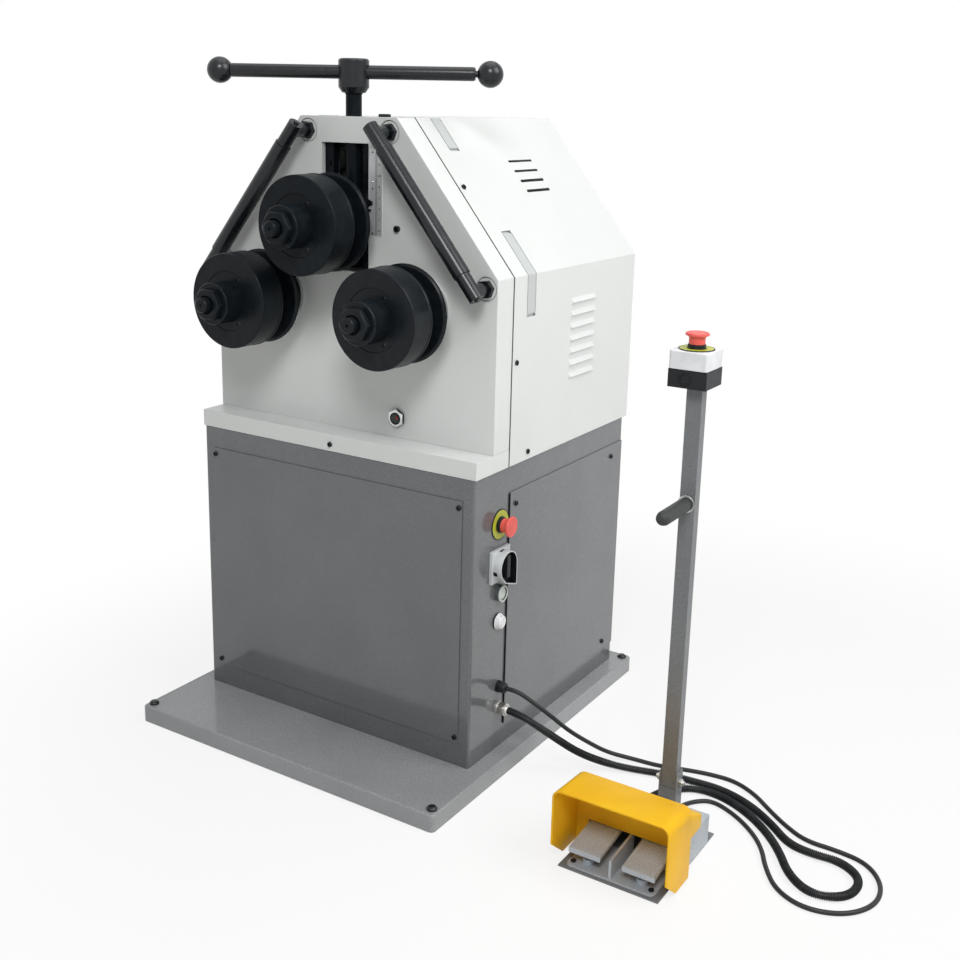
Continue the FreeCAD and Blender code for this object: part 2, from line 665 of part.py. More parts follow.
def make_hood():
    body = new_body("hood")
    pad(body, "shell", "XZ", "hoodFront", "hoodRear", polygon(*house("0")))
    pocket(body, "room", "XZ", "hoodFront", "hoodRear - hoodSheet",
           polygon(*house("hoodSheet", "ledgeHigh - 1")))
    gap = "3"
    for number, right in enumerate(hood_cut_outs()):
        left = [(mirrored(x), z) for x, z in reversed(right)]
        for side, outline in (("right", right), ("left", left)):
            pocket(body, f"{side}_cut{number}", "XZ", f"frameFront - {gap}",
                   f"frameRear + {gap}", polygon(*outline))
    first, pitch, half = "slantLong - 105", "24", "1.5"
    for side in ("right", "left"):
        for number in range(HOOD_SLOTS):
            along = f"{first} - {number} * {pitch}"
            corners = [on_slope(f"{along} - {half}", "-2"), on_slope(f"{along} + {half}", "-2"),
                       on_slope(f"{along} + {half}", "6"), on_slope(f"{along} - {half}", "6")]
            if side == "left":
                corners = [(mirrored(x), z) for x, z in reversed(corners)]
            pocket(body, f"{side}_slot{number}", "XZ", "cabinetFront + 340",
                   "cabinetFront + 429", polygon(*corners))
    for side, sign in (("right", ""), ("left", "-")):
        for number in range(LOUVRES):
            high = f"ledgeHigh + 257.4 - {number} * 24.7"
            inner, outer = f"{sign}(headHalf)", f"{sign}(headHalf + 6)"
            corners = [(inner, f"{high} - 12"), (outer, f"{high} - 9"), (inner, high)]
            pad(body, f"{side}_louvre{number}", "XZ", "cabinetFront + 333",
                "cabinetFront + 430", polygon(*(corners if not sign else corners[::-1])))
    return node(body, "hood")


def make_sight_glass():
    at = ("sightX", "plateFace", "ledgeHigh + sightRise")
    bezel = turned("sight_bezel", "-Y", at,
                   [("sightBody - 1.5", "-30"), ("sightBody", "-30"), ("sightBody", "0"),
                    ("sightRadius", "0"), ("sightRadius", "2.5"), ("sightRadius - 1.5", "4"),
                    ("sightBody - 1.5", "4")])
    glass = cylinder("sight_pane", "-Y", at, "sightBody - 1.5 - fit", "2")
    back = cylinder("sight_reflector", "Y", (at[0], "plateFace + 24", at[2]),
                    "sightBody - 1.5 - fit", "2")
    return node(group("oil_sight", [bezel, glass, back]), "oil_sight")


def make_side_bar(side):
    """A round bar on two studs, beside the slope of the head."""
    sign = "" if side == "right" else "-"
    turn = "barSlope" if side == "right" else "180 - barSlope"
    pieces = [
        cylinder(f"{side}_sleeve", "X", ("-sleeveHalf", "0", "0"), "sleeveRadius",
                 "2 * sleeveHalf"),
    ]
    for end, way in (("upper", "-"), ("lower", "")):
        low = "-bareHalf" if way else "sleeveHalf"
        fitting = cylinder(f"{side}_{end}_fitting", "X", (low, "0", "0"), "fittingRadius",
                           "bareHalf - sleeveHalf")
        pin = cylinder(f"{side}_{end}_pin", "-X" if way else "X", (f"{way}bareHalf", "0", "0"),
                       "5", "4")
        stud = cylinder(f"{side}_{end}_stud", "Y", (f"{way}studSpread", "0", "0"), "studRadius",
                        "barStandoff + spotDeep")
        neck = cylinder(f"{side}_{end}_neck", "Y", (f"{way}studSpread", "0", "0"),
                        "studRadius + 3", "fittingRadius + 12")
        arm = fuse(f"{side}_{end}_arm", [fitting, pin, stud, neck])
        nut = cut(f"{side}_{end}_nut",
                  hexagon(f"{side}_{end}_hex", "-Y",
                          (f"{way}studSpread", "barStandoff + spotDeep", "0"),
                          "studNutAcross", "studNutThick"),
                  [cylinder(f"{side}_{end}_nut_bore", "-Y",
                            (f"{way}studSpread", "barStandoff + spotDeep + 1", "0"),
                            "studRadius + fit", "studNutThick + 2")])
        pieces += [arm, nut]
    made = group(f"{side}_side_bar", pieces)
    made.Placement = FreeCAD.Placement(Vector(0, 0, 0), FreeCAD.Rotation(Vector(0, 1, 0), 1))
    bind(made, Placement__Base__x=f"{sign}barX", Placement__Base__y="barAxis",
         Placement__Base__z="ledgeHigh + barZ", Placement__Rotation__Angle=turn)
    return node(made, f"{side}_side_bar")


# ---- drive: bearings, gears, motor ---------------------------------------------------------

def gear_wire(teeth, turn):
    """The outline of a spur gear with involute flanks, about its own centre."""
    module = value("gearModule")
    pitch = module * teeth / 2
    tip = pitch + module
    root = pitch - 1.25 * module
    base = pitch * math.cos(math.radians(value("pressureAngle")))
    start = max(base, root)
    lean = math.radians(value("pressureAngle"))
    half = math.pi / (2 * teeth) - value("backlash") / (4 * pitch) + math.tan(lean) - lean

    def half_angle(radius):
        slope = math.acos(min(1.0, base / radius))
        return half - (math.tan(slope) - slope)

    flank = [start + (tip - start) * share for share in (0.0, 0.35, 0.7, 1.0)]
    points = []
    for tooth in range(teeth):
        centre = math.radians(turn) + 2 * math.pi * tooth / teeth
        side = [(root, half_angle(start))] + [(radius, half_angle(radius)) for radius in flank]
        for radius, angle in side:
            points.append(Vector(radius * math.cos(centre - angle), 0,
                                 radius * math.sin(centre - angle)))
        for radius, angle in reversed(side):
            points.append(Vector(radius * math.cos(centre + angle), 0,
                                 radius * math.sin(centre + angle)))
    kept = [point for index, point in enumerate(points)
            if point.distanceToPoint(points[index - 1]) > 1e-4]
    return Part.makePolygon(kept + [kept[0]])


def gear_solid(teeth, turn, x, z, front, wide, bore):
    """A gear along Y with a plain bore, at a place in the XZ plane."""
    blank = Part.Face(gear_wire(teeth, turn)).extrude(Vector(0, wide, 0))
    if bore > 0:
        hole = Part.makeCylinder(bore, wide + 2, Vector(0, -1, 0), Vector(0, 1, 0))
        blank = blank.cut(hole)
    blank.translate(Vector(x, front, z))
    return blank


def mesh_angles():
    """Turns of the right gear and of the pinion, so that their teeth mesh."""
    teeth, pinion_teeth = round(value("gearTeeth")), round(value("pinionTeeth"))
    rise = math.degrees(math.atan2(value("pinionDrop"), value("rollSpread")))
    share = ((rise - 90) / (360 / pinion_teeth)) % 1.0
    return rise + 180 + (share + 0.5) * 360 / teeth, 90.0


def make_gears():
    teeth = round(value("gearTeeth"))
    right_turn, _ = mesh_angles()
    for side, sign, turn in (("left", -1, 180 - right_turn), ("right", 1, right_turn)):
        shape = gear_solid(teeth, turn, sign * value("rollSpread"), value("rollHigh"),
                           value("gearFront"), value("gearWide"),
                           value("seatRadius + fit"))
        made = doc.addObject("Part::Feature", f"{side}_gear")
        made.Shape = shape
        node(made, f"{side}_roll_gear")


def make_pinion():
    """The pinion and its shaft, turned from one piece."""
    _, turn = mesh_angles()
    y_front = value("gearFront")
    teeth = gear_solid(round(value("pinionTeeth")), turn, 0, value("pinionHigh"),
                       y_front, value("gearWide"), 0)
    shaft = [("pinionFront", "plateRear - pinionBearingWide + 1", "gearFront"),
             ("pinionSeat", "gearRear", "frameRear + pinionTail")]
    whole = teeth
    for radius, low, high in shaft:
        start = Vector(0, value(low), value("pinionHigh"))
        whole = whole.fuse(Part.makeCylinder(value(radius), value(f"({high}) - ({low})"), start,
                                             Vector(0, 1, 0)))
    made = doc.addObject("Part::Feature", "pinion_shaft")
    made.Shape = whole.removeSplitter()
    return node(made, "pinion_shaft")


def make_bearings():
    rings = []
    for side, x in (("left", "-rollSpread"), ("right", "rollSpread")):
        front = (x, "plateRear", "rollHigh")
        rings.append(ring(f"{side}_front_bearing", "-Y", front, "seatRadius + fit",
                          "bearingRadius - fit", "1", "plateThick"))
        rings.append(ring(f"{side}_rear_bearing", "Y", (x, "frameFront", "rollHigh"),
                          "rearSeat + fit", "rearBearing - fit", "1", "frameThick"))
        rings.append(ring(f"{side}_bearing_cap", "-Y", (x, "plateFace", "rollHigh"),
                          "seatRadius + 1", "capRadius", "0", "capThick"))
    rings.append(ring("pinion_front_bearing", "-Y", ("0", "plateRear", "pinionHigh"),
                      "pinionFront + fit", "pinionFrontBearing - fit", "0",
                      "pinionBearingWide"))
    rings.append(ring("pinion_rear_bearing", "Y", ("0", "frameFront", "pinionHigh"),
                      "pinionSeat + fit", "pinionBearing - fit", "1", "frameThick"))
    return node(group("lower_bearings", rings), "lower_bearings")


def make_drive():
    at = ("0", "frameRear", "pinionHigh")
    reducer = turned("gear_reducer", "Y", at,
                     [("pinionSeat + fit", "0"), ("reducerFlange", "0"), ("reducerFlange", "14"),
                      ("reducerRadius", "20"), ("reducerRadius", "reducerLong"),
                      ("0", "reducerLong"), ("0", "pinionTail + 1"),
                      ("pinionSeat + fit", "pinionTail + 1")])
    node(reducer, "gear_reducer")
    motor_at = ("0", "frameRear + reducerLong", "pinionHigh")
    case = turned("motor_case", "Y", motor_at,
                  [("0", "0"), ("motorRadius", "0"), ("motorRadius", "motorLong - 40"),
                   ("motorRadius + 4", "motorLong - 38"), ("motorRadius + 4", "motorLong - 8"),
                   ("motorRadius - 6", "motorLong"), ("0", "motorLong")])
    terminals = block("terminal_box",
                      ("-45", "frameRear + reducerLong + 30", "pinionHigh + motorRadius - 12"),
                      ("45", "frameRear + reducerLong + 120", "pinionHigh + motorRadius + 32"))
    return node(fuse("drive_motor", [case, terminals]), "drive_motor")


def make_control_plate():
    """The plate with the contactors, on spacers at the rear wall of the cabinet."""
    wall = "cabinetRear - cabinetWall"
    rear = f"{wall} - boardPost"
    front = f"{rear} - boardSheet"
    pieces = [block("mounting_plate", ("-boardHalf", front, "boardLow"),
                    ("boardHalf", rear, "boardHigh"))]
    for x in ("-boardHalf + boardPostInset", "boardHalf - boardPostInset"):
        for z in ("boardLow + boardPostInset", "boardHigh - boardPostInset"):
            pieces.append(cylinder("plate_post", "-Y", (x, wall, z), "boardPostRadius",
                                   "boardPost"))
    for number in range(3):
        left = f"{number} * relayPitch - relayLeft"
        pieces.append(block("contactor", (left, f"{front} - relayDeep", "relayLow"),
                            (f"{left} + relayWide", front, "relayHigh")))
    pieces.append(block("transformer", ("coreLeft", f"{front} - relayDeep", "coreLow"),
                        ("coreRight", front, "coreHigh")))
    return node(fuse("control_plate", pieces), "control_plate")


# ---- roll sets -----------------------------------------------------------------------------

def make_roll(side, x, z, collar_rear, shaft_tail):
    """Shaft, rings and nut of one roll, counted forward from the face of the front plate."""
    at = (x, "plateFace", z)
    inner = "shaftRadius + fit"
    centre_hole = [("0", "shaftEnd - 4"), ("1.6", "shaftEnd - 4"), ("3", "shaftEnd")]
    nose = [("endRadius - 2", "shaftEnd"), ("endRadius", "shaftEnd - 2"),
            ("endRadius", "nutFront"), ("threadRadius", "nutFront"),
            ("threadRadius", "bossFront - 1"), ("shaftRadius", "bossFront - 1")]
    node(turned(f"{side}_shaft", "-Y", at, centre_hole + nose + shaft_tail), f"{side}_shaft")
    edge = "discEdge"
    collar = ring(f"{side}_collar", "-Y", at, inner, "collarRadius", collar_rear, "flangeRear")
    flange = turned(f"{side}_flange", "-Y", at,
                    [(inner, "flangeRear"), ("flangeRadius", "flangeRear"),
                     ("flangeRadius", "flangeFront - 3"), ("flangeRadius - 4", "flangeFront"),
                     (inner, "flangeFront")])
    groove = ring(f"{side}_groove_ring", "-Y", at, inner, "grooveRadius", "flangeFront",
                  "discRear")
    seat = "discFront - hubFlangeWide"
    disc = turned(f"{side}_disc", "-Y", at,
                  [(inner, "discRear"), (f"discRadius - {edge}", "discRear"),
                   ("discRadius + 1", f"discRear + {edge}"), ("discRadius + 1", "discRear + 6"),
                   ("discRadius", "discRear + 7"), ("discRadius", f"discFront - {edge}"),
                   (f"discRadius - {edge}", "discFront"), ("hubFlange + 0.2", "discFront"),
                   ("hubFlange + 0.2", seat), (inner, seat)])
    hub = new_body(f"{side}_hub", at, "-Y")
    sketch = new_sketch(hub, "hub_profile", "XZ")
    draw_polygon(sketch, [(inner, seat), ("hubFlange", seat), ("hubFlange", "discFront - 1"),
                          ("bossRadius", "discFront - 1"), ("bossRadius", "bossFront - 1.5"),
                          ("bossRadius - 1.5", "bossFront"), (inner, "bossFront")])
    made = hub.newObject("PartDesign::Revolution", "hub_turn")
    made.Profile = sketch
    made.ReferenceAxis = (sketch, ["V_Axis"])
    holes = [(f"hubScrewRing * cos({angle})", f"hubScrewRing * sin({angle})", "hubScrewRadius")
             for angle in (60, 180, 300)]
    pocket(hub, "screw_holes", "XY", "discFront - 5", "discFront", circles(*holes))
    node(group(f"{side}_rings", [collar, flange, groove, disc, hub]), f"{side}_roll_rings")
    nut = cut(f"{side}_nut",
              hexagon(f"{side}_nut_hex", "-Y", (x, "plateFace - bossFront", z), "nutAcross",
                      "nutThick"),
              [cylinder(f"{side}_nut_bore", "-Y", (x, "plateFace - bossFront + 1", z),
                        "threadRadius + fit", "nutThick + 2")])
    node(nut, f"{side}_roll_nut")


def make_rolls():
    lower_tail = [("shaftRadius", "capThick + 1"), ("seatRadius", "capThick + 1"),
                  ("seatRadius", "plateFace - gearRear"), ("rearSeat", "plateFace - gearRear"),
                  ("rearSeat", "plateFace - frameRear + 2"), ("0", "plateFace - frameRear + 2")]
    make_roll("left", "-rollSpread", "rollHigh", "capThick + 1", lower_tail)
    make_roll("right", "rollSpread", "rollHigh", "capThick + 1", lower_tail)
    top_tail = [("shaftRadius", "plateFace - slideShoulder + running"),
                ("topSeat", "plateFace - slideShoulder + running"),
                ("topSeat", "plateFace - slideRear + 2"), ("0", "plateFace - slideRear + 2")]
    make_roll("top", "0", "topRollHigh", "plateFace - slideFace + running", top_tail)


# ---- top roll slide and pressure screw -----------------------------------------------------

def make_slide():
    body = new_body("slide_block", ("0", "0", "topRollHigh"))
    pad(body, "carriage", "XY", "-slideBelow", "slideAbove",
        rectangle("-slotLeft + running", "slideShoulder", "slotRight - running", "slideRear"))
    pad(body, "tongue", "XY", "-slideBelow", "slideAbove",
        rectangle("-slotLeft + keeperWide + running", "slideFace",
                  "slotRight - keeperWide - running", "slideShoulder"))
    pocket(body, "bearing_bore", "XZ", "slideShoulder", "slideRear",
           circles(("0", "0", "topBearing")))
    pocket(body, "shaft_bore", "XZ", "slideFace", "slideShoulder",
           circles(("0", "0", "shaftRadius + 1")))
    pocket(body, "spigot_bore", "XY", "slideAbove - spigotLong - 1", "slideAbove",
           circles(("0", "screwY", "spigotRadius + fit")))
    node(body, "slide_block")
    rings = []
    for name, low in (("front", "-slideShoulder - topBearingWide"), ("rear", "-slideRear")):
        rings.append(ring(f"top_{name}_bearing", "-Y", ("0", "0", "topRollHigh"),
                          "topSeat + fit", "topBearing - fit", low, f"{low} + topBearingWide"))
    node(group("top_bearings", rings), "top_bearings")
    arm = new_body("scale_pointer", ("0", "0", "topRollHigh"))
    near = "slotRight - keeperWide - running - 1"
    front = "plateFace - scaleThick - 0.5 - pointerThick"
    pad(arm, "finger", "XZ", front, "plateFace - scaleThick - 0.5",
        polygon((f"{near} - 12", "pointerRise + 18"), (f"{near} - 12", "pointerRise + 30"),
                (near, "pointerRise + 30"), ("slotRight", "pointerRise + 30"),
                ("slotRight", "pointerRise + 4"), ("slotRight + 9", "pointerRise + 1"),
                ("slotRight + 9", "pointerRise - 1"), ("slotRight", "pointerRise - 4"),
                ("slotRight - 8", "pointerRise - 4"), ("slotRight - 8", "pointerRise + 18")))
    pad(arm, "foot", "XZ", "plateFace - scaleThick - 0.5", "slideFace",
        rectangle(f"{near} - 12", "pointerRise + 18", near, "pointerRise + 30"))
    return node(arm, "scale_pointer")


def make_screw():
    at = ("0", "screwY", "0")
    cone = "hubLow - hubConeTall"
    collar = f"{cone} - screwCollarTall"
    shank = turned("pressure_screw", "Z", at,
                   [("0", "slideHigh - spigotLong"), ("spigotRadius", "slideHigh - spigotLong"),
                    ("spigotRadius", "slideHigh + running"),
                    ("screwRadius", "slideHigh + running"), ("screwRadius", collar),
                    ("screwRadius + 1.5", collar), ("screwRadius + 1.5", cone),
                    ("spigotRadius", cone), ("spigotRadius", "barHigh - barRadius - 1"),
                    ("0", "barHigh - barRadius - 1")])
    node(shank, "pressure_screw")
    hub = turned("hub_blank", "Z", at,
                 [("spigotRadius + fit", cone), ("hubNeckRadius", cone),
                  ("hubRadius", "hubLow"),
                  ("hubRadius", "hubLow + hubTall - 3"), ("hubRadius - 3", "hubLow + hubTall"),
                  ("0", "hubLow + hubTall"), ("0", "barHigh - barRadius - 0.5"),
                  ("spigotRadius + fit", "barHigh - barRadius - 0.5")])
    bore = bar_cylinder("hub_bore", "-hubRadius - 5", "hubRadius + 5", "barRadius + fit")
    node(cut("tee_hub", hub, [bore]), "tee_hub")
    left_end, right_end = "-barHalf + ballRadius - 2", "barHalf - ballRadius - ballNeckLong"
    rod = fuse("tommy_rod", [
        bar_cylinder("rod_body", left_end, f"{right_end} - 2", "barRadius"),
        bar_cylinder("rod_end", f"{right_end} - 2", right_end, "barRadius - 1.5"),
        bar_cylinder("rod_neck", right_end, "barHalf", "ballNeck")])
    holes = {"left": bar_cylinder("left_ball_hole", f"{left_end} - fit", "0", "barRadius + fit"),
             "right": bar_cylinder("right_ball_hole", "0", "barHalf + fit", "ballNeck + fit")}
    balls = []
    for name, along in (("left", "-barHalf"), ("right", "barHalf")):
        ball = bind(doc.addObject("Part::Sphere", f"{name}_ball"), Radius="ballRadius")
        place(ball, (f"({along}) * cos(barTurn)", f"screwY + ({along}) * sin(barTurn)",
                     "barHigh"))
        balls.append(cut(f"{name}_knob", ball, [holes[name]]))
    return node(group("tommy_bar_set", [rod] + balls), "tommy_bar")


def bar_cylinder(name, low, high, radius):
    """A round bar through the tee hub, turned about the screw's axis."""
    made = bind(doc.addObject("Part::Cylinder", name), Radius=radius,
                Height=f"({high}) - ({low})")
    turn = value("barTurn")
    made.Placement = FreeCAD.Placement(
        Vector(0, 0, 0), FreeCAD.Rotation(Vector(0, 0, 1), turn) * TURNS["X"])
    return bind(made, Placement__Base__x=f"({low}) * cos(barTurn)",
                Placement__Base__y=f"screwY + ({low}) * sin(barTurn)",
                Placement__Base__z="barHigh")


# ---- controls on the cabinet ---------------------------------------------------------------

def stop_mount(name, axis, at):
    """Legend disc and collar of a mushroom button, with its sleeve behind the panel."""
    well = "stopCollarTall - stopTravel - 2 * running"
    return turned(name, axis, at,
                  [("stopStem + running", "-20"), ("stopSleeve", "-20"), ("stopSleeve", "0"),
                   ("legendRadius", "0"), ("legendRadius", "legendThick"),
                   ("stopCollar", "legendThick"), ("stopCollar", "stopCollarTall"),
                   ("stopWaist + running", "stopCollarTall"), ("stopWaist + running", well),
                   ("stopStem + running", well)])


def stop_head(name, axis, at):
    """The mushroom button: its waist travels into the collar, and flares to the palm disc."""
    low = "stopCollarTall - running"
    high = f"{low} + stopHeadTall"
    return turned(name, axis, at,
                  [("0", "-8"), ("stopStem", "-8"), ("stopStem", low), ("stopWaist", low),
                   ("stopWaist", f"{low} + stopFlare"), ("stopHead - 2", f"{high} - 6"),
                   ("stopHead", f"{high} - 4.5"), ("stopHead", f"{high} - 2.5"),
                   ("stopHead - 2", f"{high} - 0.5"), ("stopHead - 5", high), ("0", high)])


def make_stop_buttons():
    side = ("cabinetRight", "stopY", "stopHigh")
    top = ("standX + boxX", "standY + boxY", "boxHigh")
    node(group("estop_mounts", [stop_mount("machine_mount", "X", side),
                                stop_mount("stand_mount", "Z", top)]), "estop_mounts")
    node(stop_head("machine_estop_head", "X", side), "machine_estop_head")
    node(stop_head("stand_estop_head", "Z", top), "stand_estop_head")


def switch_arch(name, low, high, inset):
    """A round-topped arch with one rounded foot, as a block along X."""
    radius, foot = f"switchRing - {inset}", f"switchCorner - {inset}"
    corner_y, corner_z = "switchY - switchRing + switchCorner", "switchHigh - switchSkirt + switchCorner"
    bottom = f"switchHigh - switchSkirt + {inset}"
    long = f"({high}) - ({low})"
    return fuse(name, [
        cylinder(name + "_top", "X", (low, "switchY", "switchHigh"), radius, long),
        block(name + "_side", (low, f"switchY - {radius}", corner_z),
              (high, f"switchY + {radius}", "switchHigh")),
        block(name + "_skirt", (low, corner_y, bottom), (high, f"switchY + {radius}", corner_z)),
        cylinder(name + "_foot", "X", (low, corner_y, corner_z), foot, long)])


def make_main_switch():
    at = ("cabinetRight", "switchY", "switchHigh")
    half = "switchSide / 2"
    face = "cabinetRight + switchPlateThick"
    plate = block("switch_plate", ("cabinetRight", f"switchY - {half}", f"switchHigh - {half}"),
                  (face, f"switchY + {half}", f"switchHigh + {half}"))
    surround = switch_arch("switch_surround", "cabinetRight", f"{face} + switchRingTall", "0")
    well = switch_arch("switch_well", face, f"{face} + switchRingTall + 1", "switchWall")
    seat = cylinder("switch_seat", "X", (f"{face} - 2", at[1], at[2]), "switchDial + 0.5", "10")
    shaft_hole = cylinder("switch_hole", "X", ("cabinetRight - 1", at[1], at[2]), "5.3", "20")
    node(cut("main_switch_plate", fuse("switch_body", [plate, surround]),
             [well, seat, shaft_hole]), "main_switch_plate")
    knob = cylinder("knob_disc", "X", (f"{face} - 2 + running", at[1], at[2]), "switchDial", "6")
    grip = block("knob_grip", (face, "switchY - 6", "switchHigh - switchDial + 2"),
                 (f"{face} + switchRingTall - 1", "switchY + 6", "switchHigh + switchDial - 2"))
    stem = cylinder("knob_stem", "X", ("cabinetRight - 12", at[1], at[2]), "5", "20")
    return node(fuse("main_switch_knob", [knob, grip, stem]), "main_switch_knob")


def make_button_and_lamp():
    at = ("cabinetRight", "buttonY", "buttonHigh")
    collar = turned("button_collar", "X", at,
                    [("buttonCap + running", "-15"), ("buttonCap + 1", "-15"), ("buttonCap + 1", "0"),
                     ("buttonRing", "0"), ("buttonRing", "buttonRingTall - 1.5"),
                     ("buttonRing - 1.5", "buttonRingTall"),
                     ("buttonCap + running", "buttonRingTall")])
    lamp = turned("pilot_lamp", "X", ("cabinetRight", "lampY", "lampHigh"),
                  [("0", "-10"), ("7.9", "-10"), ("7.9", "0"), ("lampRadius", "0"),
                   ("lampRadius", "4"), ("lampCap", "5"), ("lampCap", "lampTall - 3"),
                   ("lampCap - 3", "lampTall - 0.5"), ("lampCap - 6", "lampTall"),
                   ("0", "lampTall")])
    node(group("button_and_lamp", [collar, lamp]), "button_and_lamp")
    high = "buttonRingTall - buttonRecess"
    cap = turned("start_button_cap", "X", at,
                 [("0", "-12"), ("buttonCap", "-12"), ("buttonCap", f"{high} - 1"),
                  ("buttonCap - 1", high), ("0", high)])
    return node(cap, "start_button_cap")


def make_glands():
    """Each cord's gland: a hexagon that screws down on a threaded tail."""
    at = ("cabinetRight", "cordGlandY", "cordGlandHigh")
    nylon = turned("nylon_body", "X", at,
                   [("cableRadius", "-10"), ("7.9", "-10"), ("7.9", "0"), ("11.5", "0"),
                    ("11.5", "2"), ("10", "2"), ("10", "16"), ("7", "20"), ("cableRadius", "20")])
    nylon_nut = cut("nylon_nut", hexagon("nylon_hex", "X", ("cabinetRight + 3", at[1], at[2]),
                                         "22", "9"),
                    [cylinder("nylon_nut_bore", "X", at, "8", "20")])
    at = ("cabinetRight", "conduitGlandY", "conduitGlandHigh")
    nickel = turned("nickel_body", "X", at,
                    [("conduitRadius", "-10"), ("8.9", "-10"), ("8.9", "0"), ("13", "0"),
                     ("13", "3"), ("10.5", "3"), ("10.5", "22"), ("conduitRadius", "24")])
    nickel_nut = cut("nickel_nut", hexagon("nickel_hex", "X", ("cabinetRight + 4.5", at[1], at[2]),
                                           "24", "15"),
                     [cylinder("nickel_nut_bore", "X", at, "9", "24")])
    return node(group("glands", [fuse("nylon_gland", [nylon, nylon_nut]),
                                 fuse("nickel_gland", [nickel, nickel_nut])]), "cable_glands")


def screw_row(name, axis, places, head="5", tall="3.5", shank="3", deep="panelSheet"):
    """Cap screws at a row of places, each with a short shank behind its head."""
    back = {"X": "-X", "-X": "X", "-Y": "Y", "Y": "-Y", "Z": "Z"}[axis]
    made = []
    for number, at in enumerate(places):
        cap = cylinder(f"{name}{number}_head", axis, at, head, tall)
        if deep == "0":
            made.append(cap)
            continue
        stem = cylinder(f"{name}{number}_shank", back, at, shank, deep)
        made.append(fuse(f"{name}{number}", [cap, stem]))
    return made


def make_cover_screws():
    front = [(x, "cabinetFront - panelSheet", z) for x, z in front_screw_places()]
    side = [("cabinetRight + panelSheet", y, z) for y, z in side_screw_places()]
    plain = [("0", "cabinetFront", "cabinetHigh + 14")]
    plate = [("115.4", "plateFace", "ledgeHigh + 395.3")]
    hood = []
    for side_x in ("", "-"):
        hood.append((side_x + "headHalf", "hoodFront + 13", "ledgeHigh + 162"))
    ledge = [("headHalf", "frameFront + 16", "cabinetHigh + 16.6")]
    pieces = screw_row("front_screw", "-Y", front) + screw_row("side_screw", "X", side)
    pieces += screw_row("ledge_screw", "-Y", plain, deep="0")
    pieces += screw_row("plate_screw", "-Y", plate, head="6", tall="6", deep="0")
    pieces += screw_row("hood_screw", "X", hood[:1], deep="0")
    pieces += screw_row("left_hood_screw", "-X", hood[1:], deep="0")
    pieces += screw_row("side_ledge_screw", "X", ledge, deep="0")
    plug = turned("filler_plug", "Z", ("plugX", "screwY + 4", "crownHigh"),
                  [("0", "0"), ("plugRadius", "0"), ("plugRadius", "plugTall - 1"),
                   ("plugRadius - 1", "plugTall"), ("0", "plugTall")])
    return node(group("cover_screws", pieces + [plug]), "cover_screws")


# ---- control stand -------------------------------------------------------------------------

def make_foot():
    plate = block("foot_sheet", ("-footHalf", "footFront", "0"),
                  ("footHalf", "footRear", "footThick"))
    sheet = "bracketSheet"
    left, right = "columnX - columnWide / 2", "columnX + columnWide / 2"
    rear = "columnY + columnDeep / 2 + 4"
    pieces = [
        block("left_cheek", (f"{left} - {sheet}", f"columnFront - {sheet}", "footThick"),
              (left, rear, "bracketTall")),
        block("right_cheek", (right, f"columnFront - {sheet}", "footThick"),
              (f"{right} + {sheet}", rear, "bracketTall")),
        block("web", (f"{left} - {sheet}", f"columnFront - {sheet}", "footThick"),
              (f"{right} + {sheet}", "columnFront", "bracketWeb")),
    ]
    hole = cylinder("bracket_hole", "X", ("columnX - 40", "columnY", "boltHigh"), "4.1", "80")
    made = cut("stand_foot", fuse("foot_and_bracket", [plate] + pieces), [hole])
    return node(place(made, STAND), "stand_foot")


def make_cast_base():
    body = new_body("pedal_base", STAND)
    top = "footThick + castTall"
    pad(body, "sole", "XY", "footThick", top, rectangle("-castHalf", "castFront", "castHalf",
                                                        "housingFront"))
    round_edges(body, "corners", "castCorner", lambda edge: upright(edge)
                and edge.BoundBox.YMax < value("castFront") + 1)
    pad(body, "fin", "YZ", "-finHalf", "finHalf",
        polygon(("castFront + finSetback", top), ("housingFront", top),
                ("housingFront", "finRearTall"), ("castFront + finSetback", "finFrontTall")))
    stops = [(f"{side}pedalX", "pedalFront + stopPadSetback", "stopPad") for side in ("", "-")]
    pad(body, "stops", "XY", top, f"{top} + stopPadTall", circles(*stops))
    return node(body, "pedal_base")


def make_housing():
    """The casting behind the pedals that holds their axle and switches."""
    body = new_body("pedal_housing", STAND)
    wall = "housingWall"
    pad(body, "case", "XY", "footThick", "housingTall",
        rectangle("-housingHalf", "housingFront", "housingHalf", "housingRear"))
    pocket(body, "room", "XY", "footThick", f"housingTall - {wall}",
           rectangle(f"-housingHalf + {wall}", "housingFront - 1", f"housingHalf - {wall}",
                     f"housingRear - {wall}"))
    pad(body, "rim", "XY", "housingTall", "housingTall + 8",
        rectangle("-rearHoodHalf + guardWall + 0.3", "housingFront",
                  "rearHoodHalf - guardWall - 0.3", "rearHoodRear - guardWall - 0.3"))
    pocket(body, "axle_hole", "YZ", "-housingHalf", "housingHalf",
           circles(("axleY", "axleZ", "axleRadius + fit")))
    pocket(body, "conduit_hole", "XZ", f"housingRear - {wall}", "housingRear",
           circles(("-48", "conduitRadius + 6", "conduitRadius")))
    return node(body, "pedal_housing")


def make_axle():
    rod = cylinder("axle_rod", "X", ("-housingHalf", "axleY", "axleZ"), "axleRadius",
                   "2 * housingHalf")
    return node(group_at_stand("pedal_axle", [rod]), "pedal_axle")


def group_at_stand(name, shapes):
    return place(group(name, shapes), STAND)


